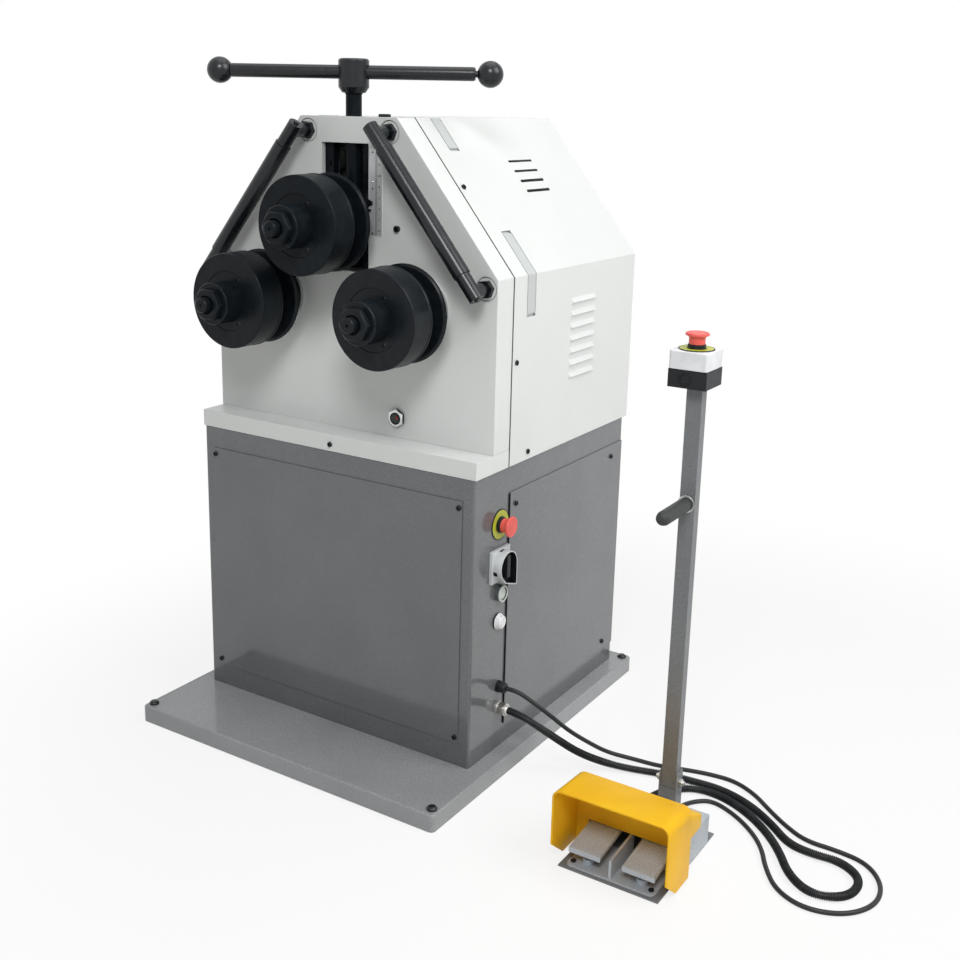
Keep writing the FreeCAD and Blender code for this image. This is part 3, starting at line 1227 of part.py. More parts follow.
def make_pedal(side):
    """A sloping tread, and an arm with an eye on the axle."""
    sign = "-" if side == "left" else ""
    body = new_body(f"{side}_pedal", (f"standX + {sign}pedalX", "standY", "0"))
    slope = "(pedalRearTop - pedalFrontTop) / (pedalRear - pedalFront)"
    at_eye = f"pedalRearTop + {slope} * (axleY - pedalRear)"
    pad(body, "tread", "YZ", "-pedalHalf", "pedalHalf",
        polygon(("pedalFront", "pedalFrontTop - pedalThick - 4"), ("pedalFront + 8",
                "pedalFrontTop - pedalThick"), ("pedalRear", "pedalRearTop - pedalThick"),
                ("pedalRear", "pedalRearTop"), ("pedalFront", "pedalFrontTop")))
    pad(body, "arm", "YZ", "-pedalHalf + 8", "pedalHalf - 8",
        polygon(("pedalRear - 12", "pedalRearTop - pedalThick - 4"),
                ("axleY", "axleZ - axleRadius - 5"), ("axleY + 9", "axleZ"),
                ("axleY", "axleZ + axleRadius + 5"), ("pedalRear - 12", "pedalRearTop - 2")))
    pocket(body, "eye", "YZ", "-pedalHalf", "pedalHalf",
           circles(("axleY", "axleZ", "axleRadius + fit")))
    return node(body, f"{side}_pedal")


def make_guard():
    """The yellow visor over the pedals, with a lower hood on the housing behind it."""
    body = new_body("pedal_guard", STAND)
    wall = "guardWall"
    pad(body, "visor", "XZ", "guardFront", "guardStep",
        rectangle("-guardHalf", "guardLow", "guardHalf", "guardTop"))
    pad(body, "rear", "YZ", "-rearHoodHalf", "rearHoodHalf",
        polygon(("guardStep", "rearHoodLow"), ("rearHoodRear", "rearHoodLow"),
                ("rearHoodRear", "rearHoodEnd"), ("guardStep", "rearHoodTop")))
    high = value("guardTop")
    round_edges(body, "shoulders", "guardCorner",
                lambda edge: edge.BoundBox.YLength > 50 and edge.BoundBox.ZMin > high - 1)
    pocket(body, "visor_room", "XZ", "guardFront", f"guardStep - {wall}",
           rectangle(f"-guardHalf + {wall}", "guardLow - 1", f"guardHalf - {wall}",
                     f"guardTop - {wall}"))
    pocket(body, "rear_room", "YZ", f"-rearHoodHalf + {wall}", f"rearHoodHalf - {wall}",
           polygon((f"guardStep - {wall} - 1", "guardLow - 1"),
                   (f"rearHoodRear - {wall}", "guardLow - 1"),
                   (f"rearHoodRear - {wall}", f"rearHoodEnd - {wall}"),
                   (f"guardStep - {wall} - 1", f"rearHoodTop - {wall}")))
    pocket(body, "toe_cut", "YZ", "-guardHalf - 1", "guardHalf + 1",
           polygon(("guardFront - 1", "guardLow - 1"), ("guardFront + 43", "guardLow - 1"),
                   ("guardFront - 1", "guardLow + 36")))
    return node(body, "pedal_guard")


def make_column():
    body = new_body("stand_column", STAND)
    half_x, half_y = "columnWide / 2", "columnDeep / 2"
    pad(body, "tube", "XY", "footThick", "columnTop",
        rectangle(f"columnX - {half_x}", f"columnY - {half_y}", f"columnX + {half_x}",
                  f"columnY + {half_y}"))
    pocket(body, "bore", "XY", "footThick", "columnTop",
           rectangle(f"columnX - {half_x} + columnWall", f"columnY - {half_y} + columnWall",
                     f"columnX + {half_x} - columnWall", f"columnY + {half_y} - columnWall"))
    pocket(body, "bolt_holes", "YZ", f"columnX - {half_x}", f"columnX + {half_x}",
           circles(("columnY", "boltHigh", "4.1")))
    pocket(body, "cable_hole", "XZ", f"columnY + {half_y} - columnWall", f"columnY + {half_y}",
           circles(("columnX", "cableRadius + 12", "cableRadius")))
    return node(body, "stand_column")


def make_stand_fasteners():
    right = "columnX + columnWide / 2 + bracketSheet"
    left = "columnX - columnWide / 2 - bracketSheet"
    shank = cylinder("bracket_bolt", "X", (f"{left} - 10", "columnY", "boltHigh"), "4",
                     "columnWide + 2 * bracketSheet + 20")
    head = hexagon("bracket_bolt_head", "X", (right, "columnY", "boltHigh"), "13", "6")
    nut = hexagon("bracket_bolt_nut", "-X", (left, "columnY", "boltHigh"), "13", "6")
    bolt = fuse("bracket_bolt_set", [shank, head, nut])
    screws = []
    for x in ("-castHalf + 9", "castHalf - 9"):
        screws.append(cylinder("base_screw", "Z", (x, "castFront + 13", "footThick + castTall"),
                               "5", "3"))
    return node(group_at_stand("stand_fasteners", [bolt] + screws), "stand_fasteners")


def make_grip():
    at = ("standX + columnX - 2", "standY + columnFront", "gripHigh")
    grip = turned("grip_body", "-Y", at,
                  [("0", "2"), ("gripRadius - 2", "2"), ("gripRadius", "8"),
                   ("gripRadius", "gripLong - gripRadius"),
                   ("gripRadius * 0.87", "gripLong - gripRadius / 2"),
                   ("gripRadius * 0.5", "gripLong - gripRadius * 0.13"), ("0", "gripLong")])
    washer = cylinder("grip_washer", "-Y", at, "gripRadius - 1", "2")
    return node(group("stand_grip", [grip, washer]), "stand_grip")


def make_box():
    half = "boxSide / 2"
    for label, low, high, open_low, open_high in (
            ("control_box_base", "boxLow", "boxSplit", "boxLow + boxWall", "boxSplit"),
            ("control_box_lid", "boxSplit", "boxHigh", "boxSplit", "boxHigh - boxWall")):
        body = new_body(label, STAND)
        pad(body, "case", "XY", low, high,
            rectangle(f"boxX - {half}", f"boxY - {half}", f"boxX + {half}", f"boxY + {half}"))
        pocket(body, "room", "XY", open_low, open_high,
               rectangle(f"boxX - {half} + boxWall", f"boxY - {half} + boxWall",
                         f"boxX + {half} - boxWall", f"boxY + {half} - boxWall"))
        if label.endswith("base"):
            at = ("boxX - 3", f"{low} + boxBaseTall / 2")
            pad(body, "knockout_ring", "XZ", f"boxY - {half} - 0.8", f"boxY - {half}",
                circles((*at, "knockoutRing"), (*at, "knockoutRadius")))
            pocket(body, "knockout", "XZ", f"boxY - {half}", f"boxY - {half} + 1",
                   circles((*at, "knockoutRadius")))
        else:
            outer = value("boxSide") / 2
            centre = Vector(value("boxX"), value("boxY"), 0)
            round_edges(body, "corners", "boxCorner",
                        lambda edge: upright(edge)
                        and abs(edge.BoundBox.XMin - centre.x) > outer - 0.1)
            top = value("boxHigh")
            round_edges(body, "top_edge", "boxEdge",
                        lambda edge: edge.BoundBox.ZMin > top - 0.1
                        and abs(edge.BoundBox.Center.x - centre.x) > outer - 0.1)
            pocket(body, "button_hole", "XY", "boxHigh - boxWall", "boxHigh",
                   circles(("boxX", "boxY", "stopSleeve + 0.2")))
        node(body, label)


# ---- cords ---------------------------------------------------------------------------------

# Each point is counted from the cabinet's right side, from its front, and from the floor.
CONDUIT_ROUTE = [
    (24, 104.8, 120.5), (52, 106, 118), (82, 112, 104), (117, 131, 78), (149, 163, 44),
    (186, 203, 16), (232, 224, 7.6), (292, 243, 7.6), (350, 252, 7.6), (412, 255, 7.6),
    (474, 234, 7.6), (529, 195, 7.6), (573, 153, 7.6), (618, 146, 7.6), (670, 152, 7.6),
    (713, 118, 7.6), (708, 58, 7.6), (655, 30, 7.6), (605, 62, 7.6), (565, 126, 7.6),
    (520, 175, 7.6), (467, 213, 7.6), (410, 235, 7.6), (360, 228, 7.6), (326, 196, 7.6),
    (312, 150, 11), (310, 108, 13.5), (310, 83.7, 13.5),
]
CABLE_ROUTE = [
    (20, 102.4, 166.8), (42, 104, 168), (72, 114, 149), (102, 133, 121), (129, 158, 87),
    (150, 202, 49), (173, 246, 14), (218, 268, 4.3), (272, 272, 4.3), (325, 290, 4.3),
    (370, 301, 4.3), (418, 304, 4.3), (467, 280, 4.3), (506, 245, 4.3), (550, 210, 4.3),
    (595, 184, 4.3), (648, 186, 4.3), (705, 178, 4.3), (744, 130, 4.3), (750, 68, 4.3),
    (716, 14, 4.3), (656, -8, 4.3), (600, 14, 4.3), (563, 66, 4.3), (538, 118, 4.3),
    (502, 160, 4.3), (456, 194, 4.3), (408, 213, 4.3), (382, 190, 5.5), (371, 156, 10),
    (369, 125, 16.25), (369, 107, 16.25),
]


def round_route(route):
    """Straight runs joined by arcs as large as the runs on each side of a point allow."""
    right, front = value("cabinetRight"), value("cabinetFront")
    points = [Vector(right + x, front + y, z) for x, y, z in route]
    edges, radii = [], []
    last = points[0]
    for before, corner, after in zip(points, points[1:], points[2:]):
        inward = (before - corner).normalize()
        outward = (after - corner).normalize()
        turn = math.pi - inward.getAngle(outward)
        reach = 0.45 * min((before - corner).Length, (after - corner).Length)
        radius = reach / math.tan(turn / 2)
        start, end = corner + inward * reach, corner + outward * reach
        middle_way = (inward + outward).normalize()
        centre = corner + middle_way * (radius / math.cos(turn / 2))
        middle = centre - middle_way * radius
        edges.append(Part.LineSegment(last, start).toShape())
        edges.append(Part.Arc(start, middle, end).toShape())
        last = end
        radii.append(radius)
    edges.append(Part.LineSegment(last, points[-1]).toShape())
    return Part.Wire(edges), radii


def make_cord(label, route, radius):
    """A round cord swept along its route, checked against its section times its length."""
    path, radii = round_route(route)
    start = path.Edges[0].Vertexes[0].Point
    along = path.Edges[0].tangentAt(path.Edges[0].FirstParameter)
    section = Part.Wire(Part.makeCircle(radius, start, along))
    tube = path.makePipeShell([section], True, True)
    want = math.pi * radius * radius * path.Length
    if abs(tube.Volume - want) > 0.02 * want:
        raise ValueError(f"{label} is {tube.Volume:.0f} mm3, not {want:.0f}")
    print(f"{label}: length {path.Length:.0f}, radii", [round(size) for size in radii])
    made = doc.addObject("Part::Feature", label)
    made.Shape = tube
    return node(made, label)


# ---- the whole machine ---------------------------------------------------------------------

make_base_plate()
make_anchor_bolts()
make_cabinet()
make_panels()
make_head_base()
make_front_plate()
make_yoke_block()
make_keepers()
make_scale()
make_rear_frame()
make_hood()
make_sight_glass()
make_side_bar("left")
make_side_bar("right")
make_bearings()
make_gears()
make_pinion()
make_drive()
make_control_plate()
make_rolls()
make_slide()
make_screw()
make_stop_buttons()
make_main_switch()
make_button_and_lamp()
make_glands()
make_cover_screws()
make_foot()
make_cast_base()
make_housing()
make_axle()
make_pedal("left")
make_pedal("right")
make_guard()
make_column()
make_stand_fasteners()
make_grip()
make_box()
make_cord("pedal_conduit", CONDUIT_ROUTE, value("conduitRadius"))
make_cord("stop_cable", CABLE_ROUTE, value("cableRadius"))

doc.recompute()
for thing in doc.Objects:
    if "Invalid" in thing.State or "Error" in thing.State:
        raise ValueError(f"{thing.Name} did not compute")
for piece in nodes:
    if piece.Shape.isNull() or not piece.Shape.isValid():
        raise ValueError(f"{piece.Label} has a bad shape")

os.makedirs("parts", exist_ok=True)
for piece in nodes:
    piece.Shape.exportStep(f"parts/{piece.Label}.step")
print(len(nodes), "nodes written")
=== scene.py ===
import json
import math

import bpy
from mathutils import Euler, Matrix, Vector

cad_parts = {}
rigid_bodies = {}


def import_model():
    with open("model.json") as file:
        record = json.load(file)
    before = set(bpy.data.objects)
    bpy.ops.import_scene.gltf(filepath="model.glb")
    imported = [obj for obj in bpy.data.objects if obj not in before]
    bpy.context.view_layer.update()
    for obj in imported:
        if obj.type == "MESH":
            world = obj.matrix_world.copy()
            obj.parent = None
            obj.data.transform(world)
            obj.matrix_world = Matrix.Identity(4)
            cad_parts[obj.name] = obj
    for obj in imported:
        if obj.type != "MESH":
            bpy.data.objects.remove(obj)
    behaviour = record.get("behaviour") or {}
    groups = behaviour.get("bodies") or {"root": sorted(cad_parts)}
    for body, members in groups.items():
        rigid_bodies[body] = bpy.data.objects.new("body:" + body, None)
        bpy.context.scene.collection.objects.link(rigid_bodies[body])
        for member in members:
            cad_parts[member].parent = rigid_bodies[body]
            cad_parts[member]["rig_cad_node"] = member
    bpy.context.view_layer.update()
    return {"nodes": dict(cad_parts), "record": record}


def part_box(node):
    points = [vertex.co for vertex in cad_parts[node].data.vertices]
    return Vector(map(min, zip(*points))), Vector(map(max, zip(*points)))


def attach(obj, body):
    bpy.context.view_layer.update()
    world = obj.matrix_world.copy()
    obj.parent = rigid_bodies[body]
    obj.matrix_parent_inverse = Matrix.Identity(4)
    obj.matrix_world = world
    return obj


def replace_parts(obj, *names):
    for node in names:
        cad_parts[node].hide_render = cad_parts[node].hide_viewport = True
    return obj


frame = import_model()
cadNodes = frame["nodes"]
print("scene: machine loaded,", len(cadNodes), "parts")

cameraView = {
    "place": (1.4522, -2.0272, 1.2567),
    "turn": 32.735,  # degrees to the left of +Y
    "dip": 14.156,  # degrees below level
    "roll": 1.158,
    "lens": 46.349,
    "shiftX": 0.01894,
    "shiftY": -0.06444,
}


def placeCamera(view):
    bpy.ops.object.camera_add(location=view["place"])
    camera = bpy.context.object
    camera.name = "viewCamera"
    level = Euler((math.radians(90 - view["dip"]), 0, math.radians(view["turn"])))
    roll = Matrix.Rotation(math.radians(view["roll"]), 3, "Z")
    camera.rotation_euler = (level.to_matrix() @ roll).to_euler()
    camera.data.lens = view["lens"]
    camera.data.sensor_width = 36
    camera.data.shift_x = view["shiftX"]
    camera.data.shift_y = view["shiftY"]
    bpy.context.scene.camera = camera


placeCamera(cameraView)
print("scene: camera in place")


def sumOf(operation):  # shader maths between two wires, or a wire and a number
    return lambda first, second: first.maths(operation, first, second)


class Wire:  # wraps an output socket, so that shader maths reads as plain sums
    __add__ = __radd__ = sumOf("ADD")
    __mul__ = __rmul__ = sumOf("MULTIPLY")
    __gt__, __lt__, __mod__ = sumOf("GREATER_THAN"), sumOf("LESS_THAN"), sumOf("MODULO")

    def __init__(self, tree, socket=None):
        self.tree = tree
        self.socket = socket

    def node(self, kind, settings=None, inputs=None, output=None):
        made = self.tree.nodes.new(kind)
        for name, value in (settings or {}).items():
            if name == "stops":
                fillRamp(made.color_ramp.elements, value)
            else:
                setattr(made, name, value)
        for name, value in (inputs or {}).items():
            socket = next(s for s in made.inputs if s.enabled and name in (s.name, s.identifier))
            if isinstance(value, Wire):
                self.tree.links.new(value.socket, socket)
            else:
                socket.default_value = value
        found = [s for s in made.outputs if s.enabled and output in (None, s.name)]
        return Wire(self.tree, found[0])

    def maths(self, operation, first, second=None):
        inputs = {"Value": first}
        if second is not None:
            inputs["Value_001"] = second
        return self.node("ShaderNodeMath", {"operation": operation}, inputs)


def fillRamp(elements, stops):
    for element, (position, shade) in zip(elements, stops):
        element.position = position
        element.color = (shade, shade, shade, 1)


def places(wire, centre=(0, 0, 0), scale=(1, 1, 1)):  # object coordinates, moved and stretched
    shift = tuple(-c * s for c, s in zip(centre, scale))
    spot = wire.node("ShaderNodeTexCoord", output="Object")
    return wire.node("ShaderNodeMapping", None,
                     {"Vector": spot, "Location": shift, "Scale": scale})


def noise(wire, where, scale, detail=2.0, roughness=0.5):
    inputs = {"Vector": where, "Scale": scale, "Detail": detail, "Roughness": roughness}
    return wire.node("ShaderNodeTexNoise", None, inputs, "Fac")


def mixColour(wire, factor, first, second):
    first, second = [c if isinstance(c, Wire) else (*c, 1) for c in (first, second)]
    return wire.node("ShaderNodeMix", {"data_type": "RGBA"},
                     {"Factor": factor, "A": first, "B": second})


def blend(wire, factor, start, end, first, second, most=1):  # first to second over a range
    share = wire.node("ShaderNodeValToRGB", {"stops": [(start, 0), (end, most)]},
                      {"Fac": factor}, "Color")
    return mixColour(wire, share, first, second)


def axes(wire, where):  # the three coordinates as separate wires
    return [wire.node("ShaderNodeSeparateXYZ", None, {"Vector": where}, name) for name in "XYZ"]


def dim(shade, share):
    return tuple(share * c for c in shade)


def newLook(name, centre=(0, 0, 0)):  # the wires of a new material, and the place on the object
    look = bpy.data.materials.new(name)
    look.use_nodes = True
    wire = Wire(look.node_tree)
    wire.look = look
    return wire, places(wire, centre)


def connect(wire, colour, roughness, bump=None, **uniform):  # bump: height, strength, depth
    join, inputs = wire.tree.links.new, wire.tree.nodes["Principled BSDF"].inputs
    for name, value in (("Base Color", colour), ("Roughness", roughness)):
        if isinstance(value, Wire):
            join(value.socket, inputs[name])
        else:
            inputs[name].default_value = value
    if bump:
        settings = dict(zip(("Height", "Strength", "Distance"), bump))
        join(wire.node("ShaderNodeBump", None, settings).socket, inputs["Normal"])
    for name, value in uniform.items():
        inputs[name.replace("_", " ")].default_value = value
    return wire.look


def cloudedLook(name, first, second, cloud, spread, rough, grain, **uniform):  # two tones
    wire, where = newLook(name)
    patches = noise(wire, where, *cloud)
    colour = blend(wire, patches, *spread[:2], first, second, *spread[2:])
    texture = noise(wire, where, grain[0])
    return connect(wire, colour, rough[0] + rough[1] * patches, (texture, *grain[1:]), **uniform)


def only(thing):  # selects one object and makes it the active one
    bpy.ops.object.select_all(action="DESELECT")
    thing.select_set(True)
    bpy.context.view_layer.objects.active = thing
    return thing


def named(name):  # the object just made, under its own name
    made = bpy.context.object
    made.name = name
    return made


def applyAll(thing):
    only(thing)
    for modifier in list(thing.modifiers):
        bpy.ops.object.modifier_apply(modifier=modifier.name)


def bevel(thing, width, segments=2, angle=30, clamp=True):
    edge = thing.modifiers.new("edge", "BEVEL")
    edge.width = width
    edge.segments = segments
    edge.angle_limit = math.radians(angle)
    edge.use_clamp_overlap = clamp
    applyAll(thing)


def openMesh():
    bpy.ops.object.mode_set(mode="EDIT")


def editMesh(kind):  # opens the active mesh with all of it selected
    openMesh()
    bpy.ops.mesh.select_mode(type=kind)
    bpy.ops.mesh.select_all(action="SELECT")


def closeMesh():
    bpy.ops.object.mode_set(mode="OBJECT")


def closeOutward():  # turns all faces outward and leaves edit mode
    bpy.ops.mesh.select_all(action="SELECT")
    bpy.ops.mesh.normals_make_consistent(inside=False)
    closeMesh()


def extrude(*way):
    bpy.ops.mesh.extrude_region_move(TRANSFORM_OT_translate={"value": way})


def clearPick(thing, kind):  # nothing selected, and ready to select from outside edit mode
    if bpy.context.mode == "OBJECT":
        only(thing)
        openMesh()
    bpy.ops.mesh.select_mode(type=kind)
    bpy.ops.mesh.select_all(action="DESELECT")
    closeMesh()


def chooseEdges(thing, test):  # selects edges by their two ends, and stays in edit mode
    clearPick(thing, "EDGE")
    spots = thing.data.vertices
    for line in thing.data.edges:
        line.select = test(*(spots[number].co for number in line.vertices))
    openMesh()


def deleteFaces(thing, test):  # removes faces by centre and normal, and stays in edit mode
    clearPick(thing, "FACE")
    for face in thing.data.polygons:
        face.select = test(face.center, face.normal)
    openMesh()
    bpy.ops.mesh.delete(type="FACE")


conduitValues = {
    "radius": 0.0075, "valley": 0.0059, "pitch": 0.0034, "ringSides": 22,
    "lie": 0.0076,  # height of the points that have two numbers
    "rib": [(0, 0), (0.26, 0), (0.42, 1), (0.72, 1), (0.88, 0), (1, 0)],  # shares of pitch, rise
    "points": [
        (0.354, 0.1048, 0.1205), (0.382, 0.106, 0.118), (0.412, 0.112, 0.104),
        (0.447, 0.131, 0.078), (0.479, 0.163, 0.044), (0.516, 0.203, 0.016), (0.562, 0.224),
        (0.622, 0.243), (0.68, 0.252), (0.742, 0.255), (0.804, 0.234), (0.859, 0.195),
        (0.903, 0.153), (0.948, 0.146), (1.000, 0.152), (1.043, 0.118), (1.038, 0.058),
        (0.985, 0.03), (0.935, 0.062), (0.895, 0.126), (0.85, 0.175), (0.797, 0.213),
        (0.74, 0.235), (0.69, 0.228), (0.656, 0.196), (0.642, 0.15, 0.011), (0.64, 0.108, 0.0135),
        (0.64, 0.0837, 0.0135),
    ],
}  # the second number of each point is counted from the cabinet's front

cableValues = {
    "radius": 0.00425,
    "lie": 0.0043,
    "points": [
        (0.35, 0.1024, 0.1668), (0.372, 0.104, 0.168), (0.402, 0.114, 0.149),
        (0.432, 0.133, 0.121), (0.459, 0.158, 0.087), (0.48, 0.202, 0.049), (0.503, 0.246, 0.014),
        (0.548, 0.268), (0.602, 0.272), (0.655, 0.29), (0.7, 0.301), (0.748, 0.304),
        (0.797, 0.28), (0.836, 0.245), (0.88, 0.21), (0.925, 0.184), (0.978, 0.186),
        (1.035, 0.178), (1.074, 0.13), (1.08, 0.068), (1.046, 0.014), (0.986, -0.008),
        (0.93, 0.014), (0.893, 0.066), (0.868, 0.118), (0.832, 0.16), (0.786, 0.194),
        (0.738, 0.213), (0.712, 0.19, 0.0055), (0.701, 0.156, 0.01), (0.699, 0.125, 0.01625),
        (0.699, 0.107, 0.01625),
    ],
}
cabinetFront = -0.235


def routeCurve(name, values):
    data = bpy.data.curves.new(name, "CURVE")
    data.dimensions = "3D"
    data.resolution_u = 12
    spline = data.splines.new("NURBS")
    spline.points.add(len(values["points"]) - 1)
    for point, (x, y, *height) in zip(spline.points, values["points"]):
        point.co = (x, y + cabinetFront, height[0] if height else values["lie"], 1)
    spline.order_u = 3
    spline.use_endpoint_u = True
    made = bpy.data.objects.new(name, data)
    bpy.context.scene.collection.objects.link(made)
    return made


def linePoints(curve):  # the points that Blender itself gives for the bare curve
    bare = bpy.data.meshes.new_from_object(curve)
    found = [vertex.co.copy() for vertex in bare.vertices]
    bpy.data.meshes.remove(bare)
    return found


def lineLength(points):
    return sum((b - a).length for a, b in zip(points, points[1:]))


def makeConduit(values):
    line = routeCurve("conduitLine", values)
    path = linePoints(line)
    pitch, deep, proud = values["pitch"], values["valley"], values["radius"]
    profile = [(share, deep + rise * (proud - deep)) for share, rise in values["rib"]]
    bpy.ops.mesh.primitive_circle_add(vertices=values["ringSides"], radius=deep,
                                      rotation=(0, math.pi / 2, 0))
    rib = named("pedalConduit")
    bpy.ops.object.transform_apply()
    openMesh()
    for (x, radius), (lastX, lastRadius) in zip(profile[1:], profile):
        grow = radius / lastRadius
        extrude((x - lastX) * pitch, 0, 0)
        bpy.ops.transform.resize(value=(1, grow, grow))
    closeMesh()
    row = rib.modifiers.new("row", "ARRAY")
    row.use_relative_offset = False
    row.use_constant_offset = True
    row.constant_offset_displace = (pitch, 0, 0)
    row.count = int(lineLength(path) / pitch)
    row.use_merge_vertices = True
    row.merge_threshold = 0.00005
    bend = rib.modifiers.new("bend", "CURVE")
    bend.object = line
    bend.deform_axis = "POS_X"
    applyAll(rib)
    openMesh()
    closeOutward()
    bpy.ops.object.shade_smooth_by_angle(angle=math.radians(35))
    rib.data.materials.append(cloudedLook(
        "ribbedPvc", (0.009, 0.0105, 0.012), (0.03, 0.031, 0.032), (45, 4), (0.45, 0.8),
        (0.34, 0.2), (900, 0.2, 0.0002), Specular_IOR_Level=0.35))
    bpy.data.objects.remove(line)
    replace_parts(rib, "pedal_conduit")
    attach(rib, "machine")
    print("scene: conduit", round(lineLength(path), 3), "m,", len(rib.data.polygons), "faces")


def makeCable(values):
    cable = routeCurve("stopCable", values)
    path = linePoints(cable)
    cable.data.bevel_depth = values["radius"]
    cable.data.bevel_resolution = 5
    cable.data.use_fill_caps = True
    cable.data.materials.append(cloudedLook(
        "blackSheath", (0.008, 0.009, 0.011), (0.022, 0.023, 0.024), (60, 3), (0, 1),
        (0.34, 0.2), (1500, 0.15, 0.0001), Specular_IOR_Level=0.35))
    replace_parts(cable, "stop_cable")
    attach(cable, "machine")
    print("scene: cable", round(lineLength(path), 3), "m")


makeConduit(conduitValues)
makeCable(cableValues)


def speckledEnamel(name, dark, light, grain=850, coat=0.35):
    wire, where = newLook(name)
    fleck = noise(wire, where, grain, 3, 0.7)
    cloud = noise(wire, where, 7, 3)
    colour = blend(wire, fleck, 0.38, 0.62, dark, light)
    colour = blend(wire, cloud, 0.35, 0.75, colour, dark, 0.35)
    return connect(wire, colour, 0.48 + 0.14 * cloud, (fleck, 0.16, 0.0003),
                   Specular_IOR_Level=0.3, Coat_Weight=coat, Coat_Roughness=0.12)


def satinEnamel(name, shade, dusty):
    return cloudedLook(name, shade, dusty, (5, 4), (0.4, 0.8, 0.7), (0.34, 0.14),
                       (420, 0.12, 0.0003), Coat_Weight=0.15, Coat_Roughness=0.2)


def blackOxide(name, centre=(0, 0, 0), turnedMarks=0.0, shine=0.25, grain=0.1):
    wire, where = newLook(name, centre)
    stain = noise(wire, where, 60, 4, 0.6)
    fine = noise(wire, where, 1400, 2)
    x, y, z = axes(wire, where)
    fromAxis = wire.maths("SQRT", x * x + z * z)
    rings = wire.node("ShaderNodeTexNoise", {"noise_dimensions": "1D"},
                      {"W": fromAxis + 0.7 * y, "Scale": 1300.0, "Detail": 3.0}, "Fac")
    colour = blend(wire, stain, 0.42, 0.8, (0.0055, 0.008, 0.0105), (0.012, 0.0155, 0.018))
    rough = 0.2 + 0.1 * stain + 0.16 * turnedMarks * rings
    height = fine * (1 - 0.6 * turnedMarks) + rings * turnedMarks
    return connect(wire, colour, rough, (height, grain, 0.0002), Specular_IOR_Level=shine)


def groundSteel(name, shade, streaks=(30, 900, 900)):
    wire, where = newLook(name)
    brushed = noise(wire, places(wire, scale=streaks), 1, 3)
    cloud = noise(wire, where, 20, 3)
    colour = mixColour(wire, brushed, dim(shade, 0.82), shade)
    return connect(wire, colour, 0.26 + 0.16 * cloud + 0.1 * brushed, (brushed, 0.1, 0.0001),
                   Metallic=1.0)


def mouldedPlastic(name, shade, gloss=0.4, shine=0.45):
    return cloudedLook(name, shade, dim(shade, 0.84), (30, 3), (0.35, 0.75), (gloss, 0.12),
                       (1100, 0.15, 0.0002), Specular_IOR_Level=shine)


def castAluminium(name, shade):
    wire, where = newLook(name)
    pits = noise(wire, where, 520, 4, 0.65)
    cloud = noise(wire, where, 26, 4)
    colour = blend(wire, pits, 0.36, 0.6, dim(shade, 0.72), shade)
    colour = blend(wire, cloud, 0.4, 0.8, colour, dim(shade, 0.8), 0.5)
    return connect(wire, colour, 0.42 + 0.2 * cloud, (pits, 0.3, 0.0005), Metallic=0.2)


def platedMetal(name, shade, gloss=0.18):
    return cloudedLook(name, shade, dim(shade, 0.7), (90, 4), (0.4, 0.8), (gloss, 0.2),
                       (1200, 0.08, 0.0001), Metallic=1.0)


def ruleLook(name):  # satin steel with engraved millimetre marks
    wire, where = newLook(name)
    x, y, z = axes(wire, where)
    brushed = noise(wire, places(wire, scale=(900, 900, 40)), 1, 2)
    low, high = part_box("scale_strip")
    middle, thin = (low.x + high.x) / 2, 0.0004
    colour = mixColour(wire, brushed, (0.6, 0.62, 0.63), (0.72, 0.74, 0.75))
    for step, long in ((0.001, 0.003), (0.005, 0.0045), (0.01, 0.0062)):
        line = (z % step) < 0.0003
        inside = (x > middle + thin) * (x < middle + long)
        colour = mixColour(wire, line * inside, colour, (0.02, 0.02, 0.02))
    seam = (x > middle - thin) * (x < middle + thin)
    colour = mixColour(wire, seam * 0.85, colour, (0.05, 0.05, 0.05))
    return connect(wire, colour, 0.3 + 0.15 * brushed, (brushed, 0.1, 0.0001), Metallic=0.4)


rollShine = {"top": 0.1, "left": 0.14, "right": 0.17}
rollLooks = {}
for side, shine in rollShine.items():
    low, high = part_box(side + "_roll_nut")
    middle = (low + high) / 2
    rollLooks[side] = blackOxide(side + "RollBlack", (middle.x, 0, middle.z), 1.0, shine)

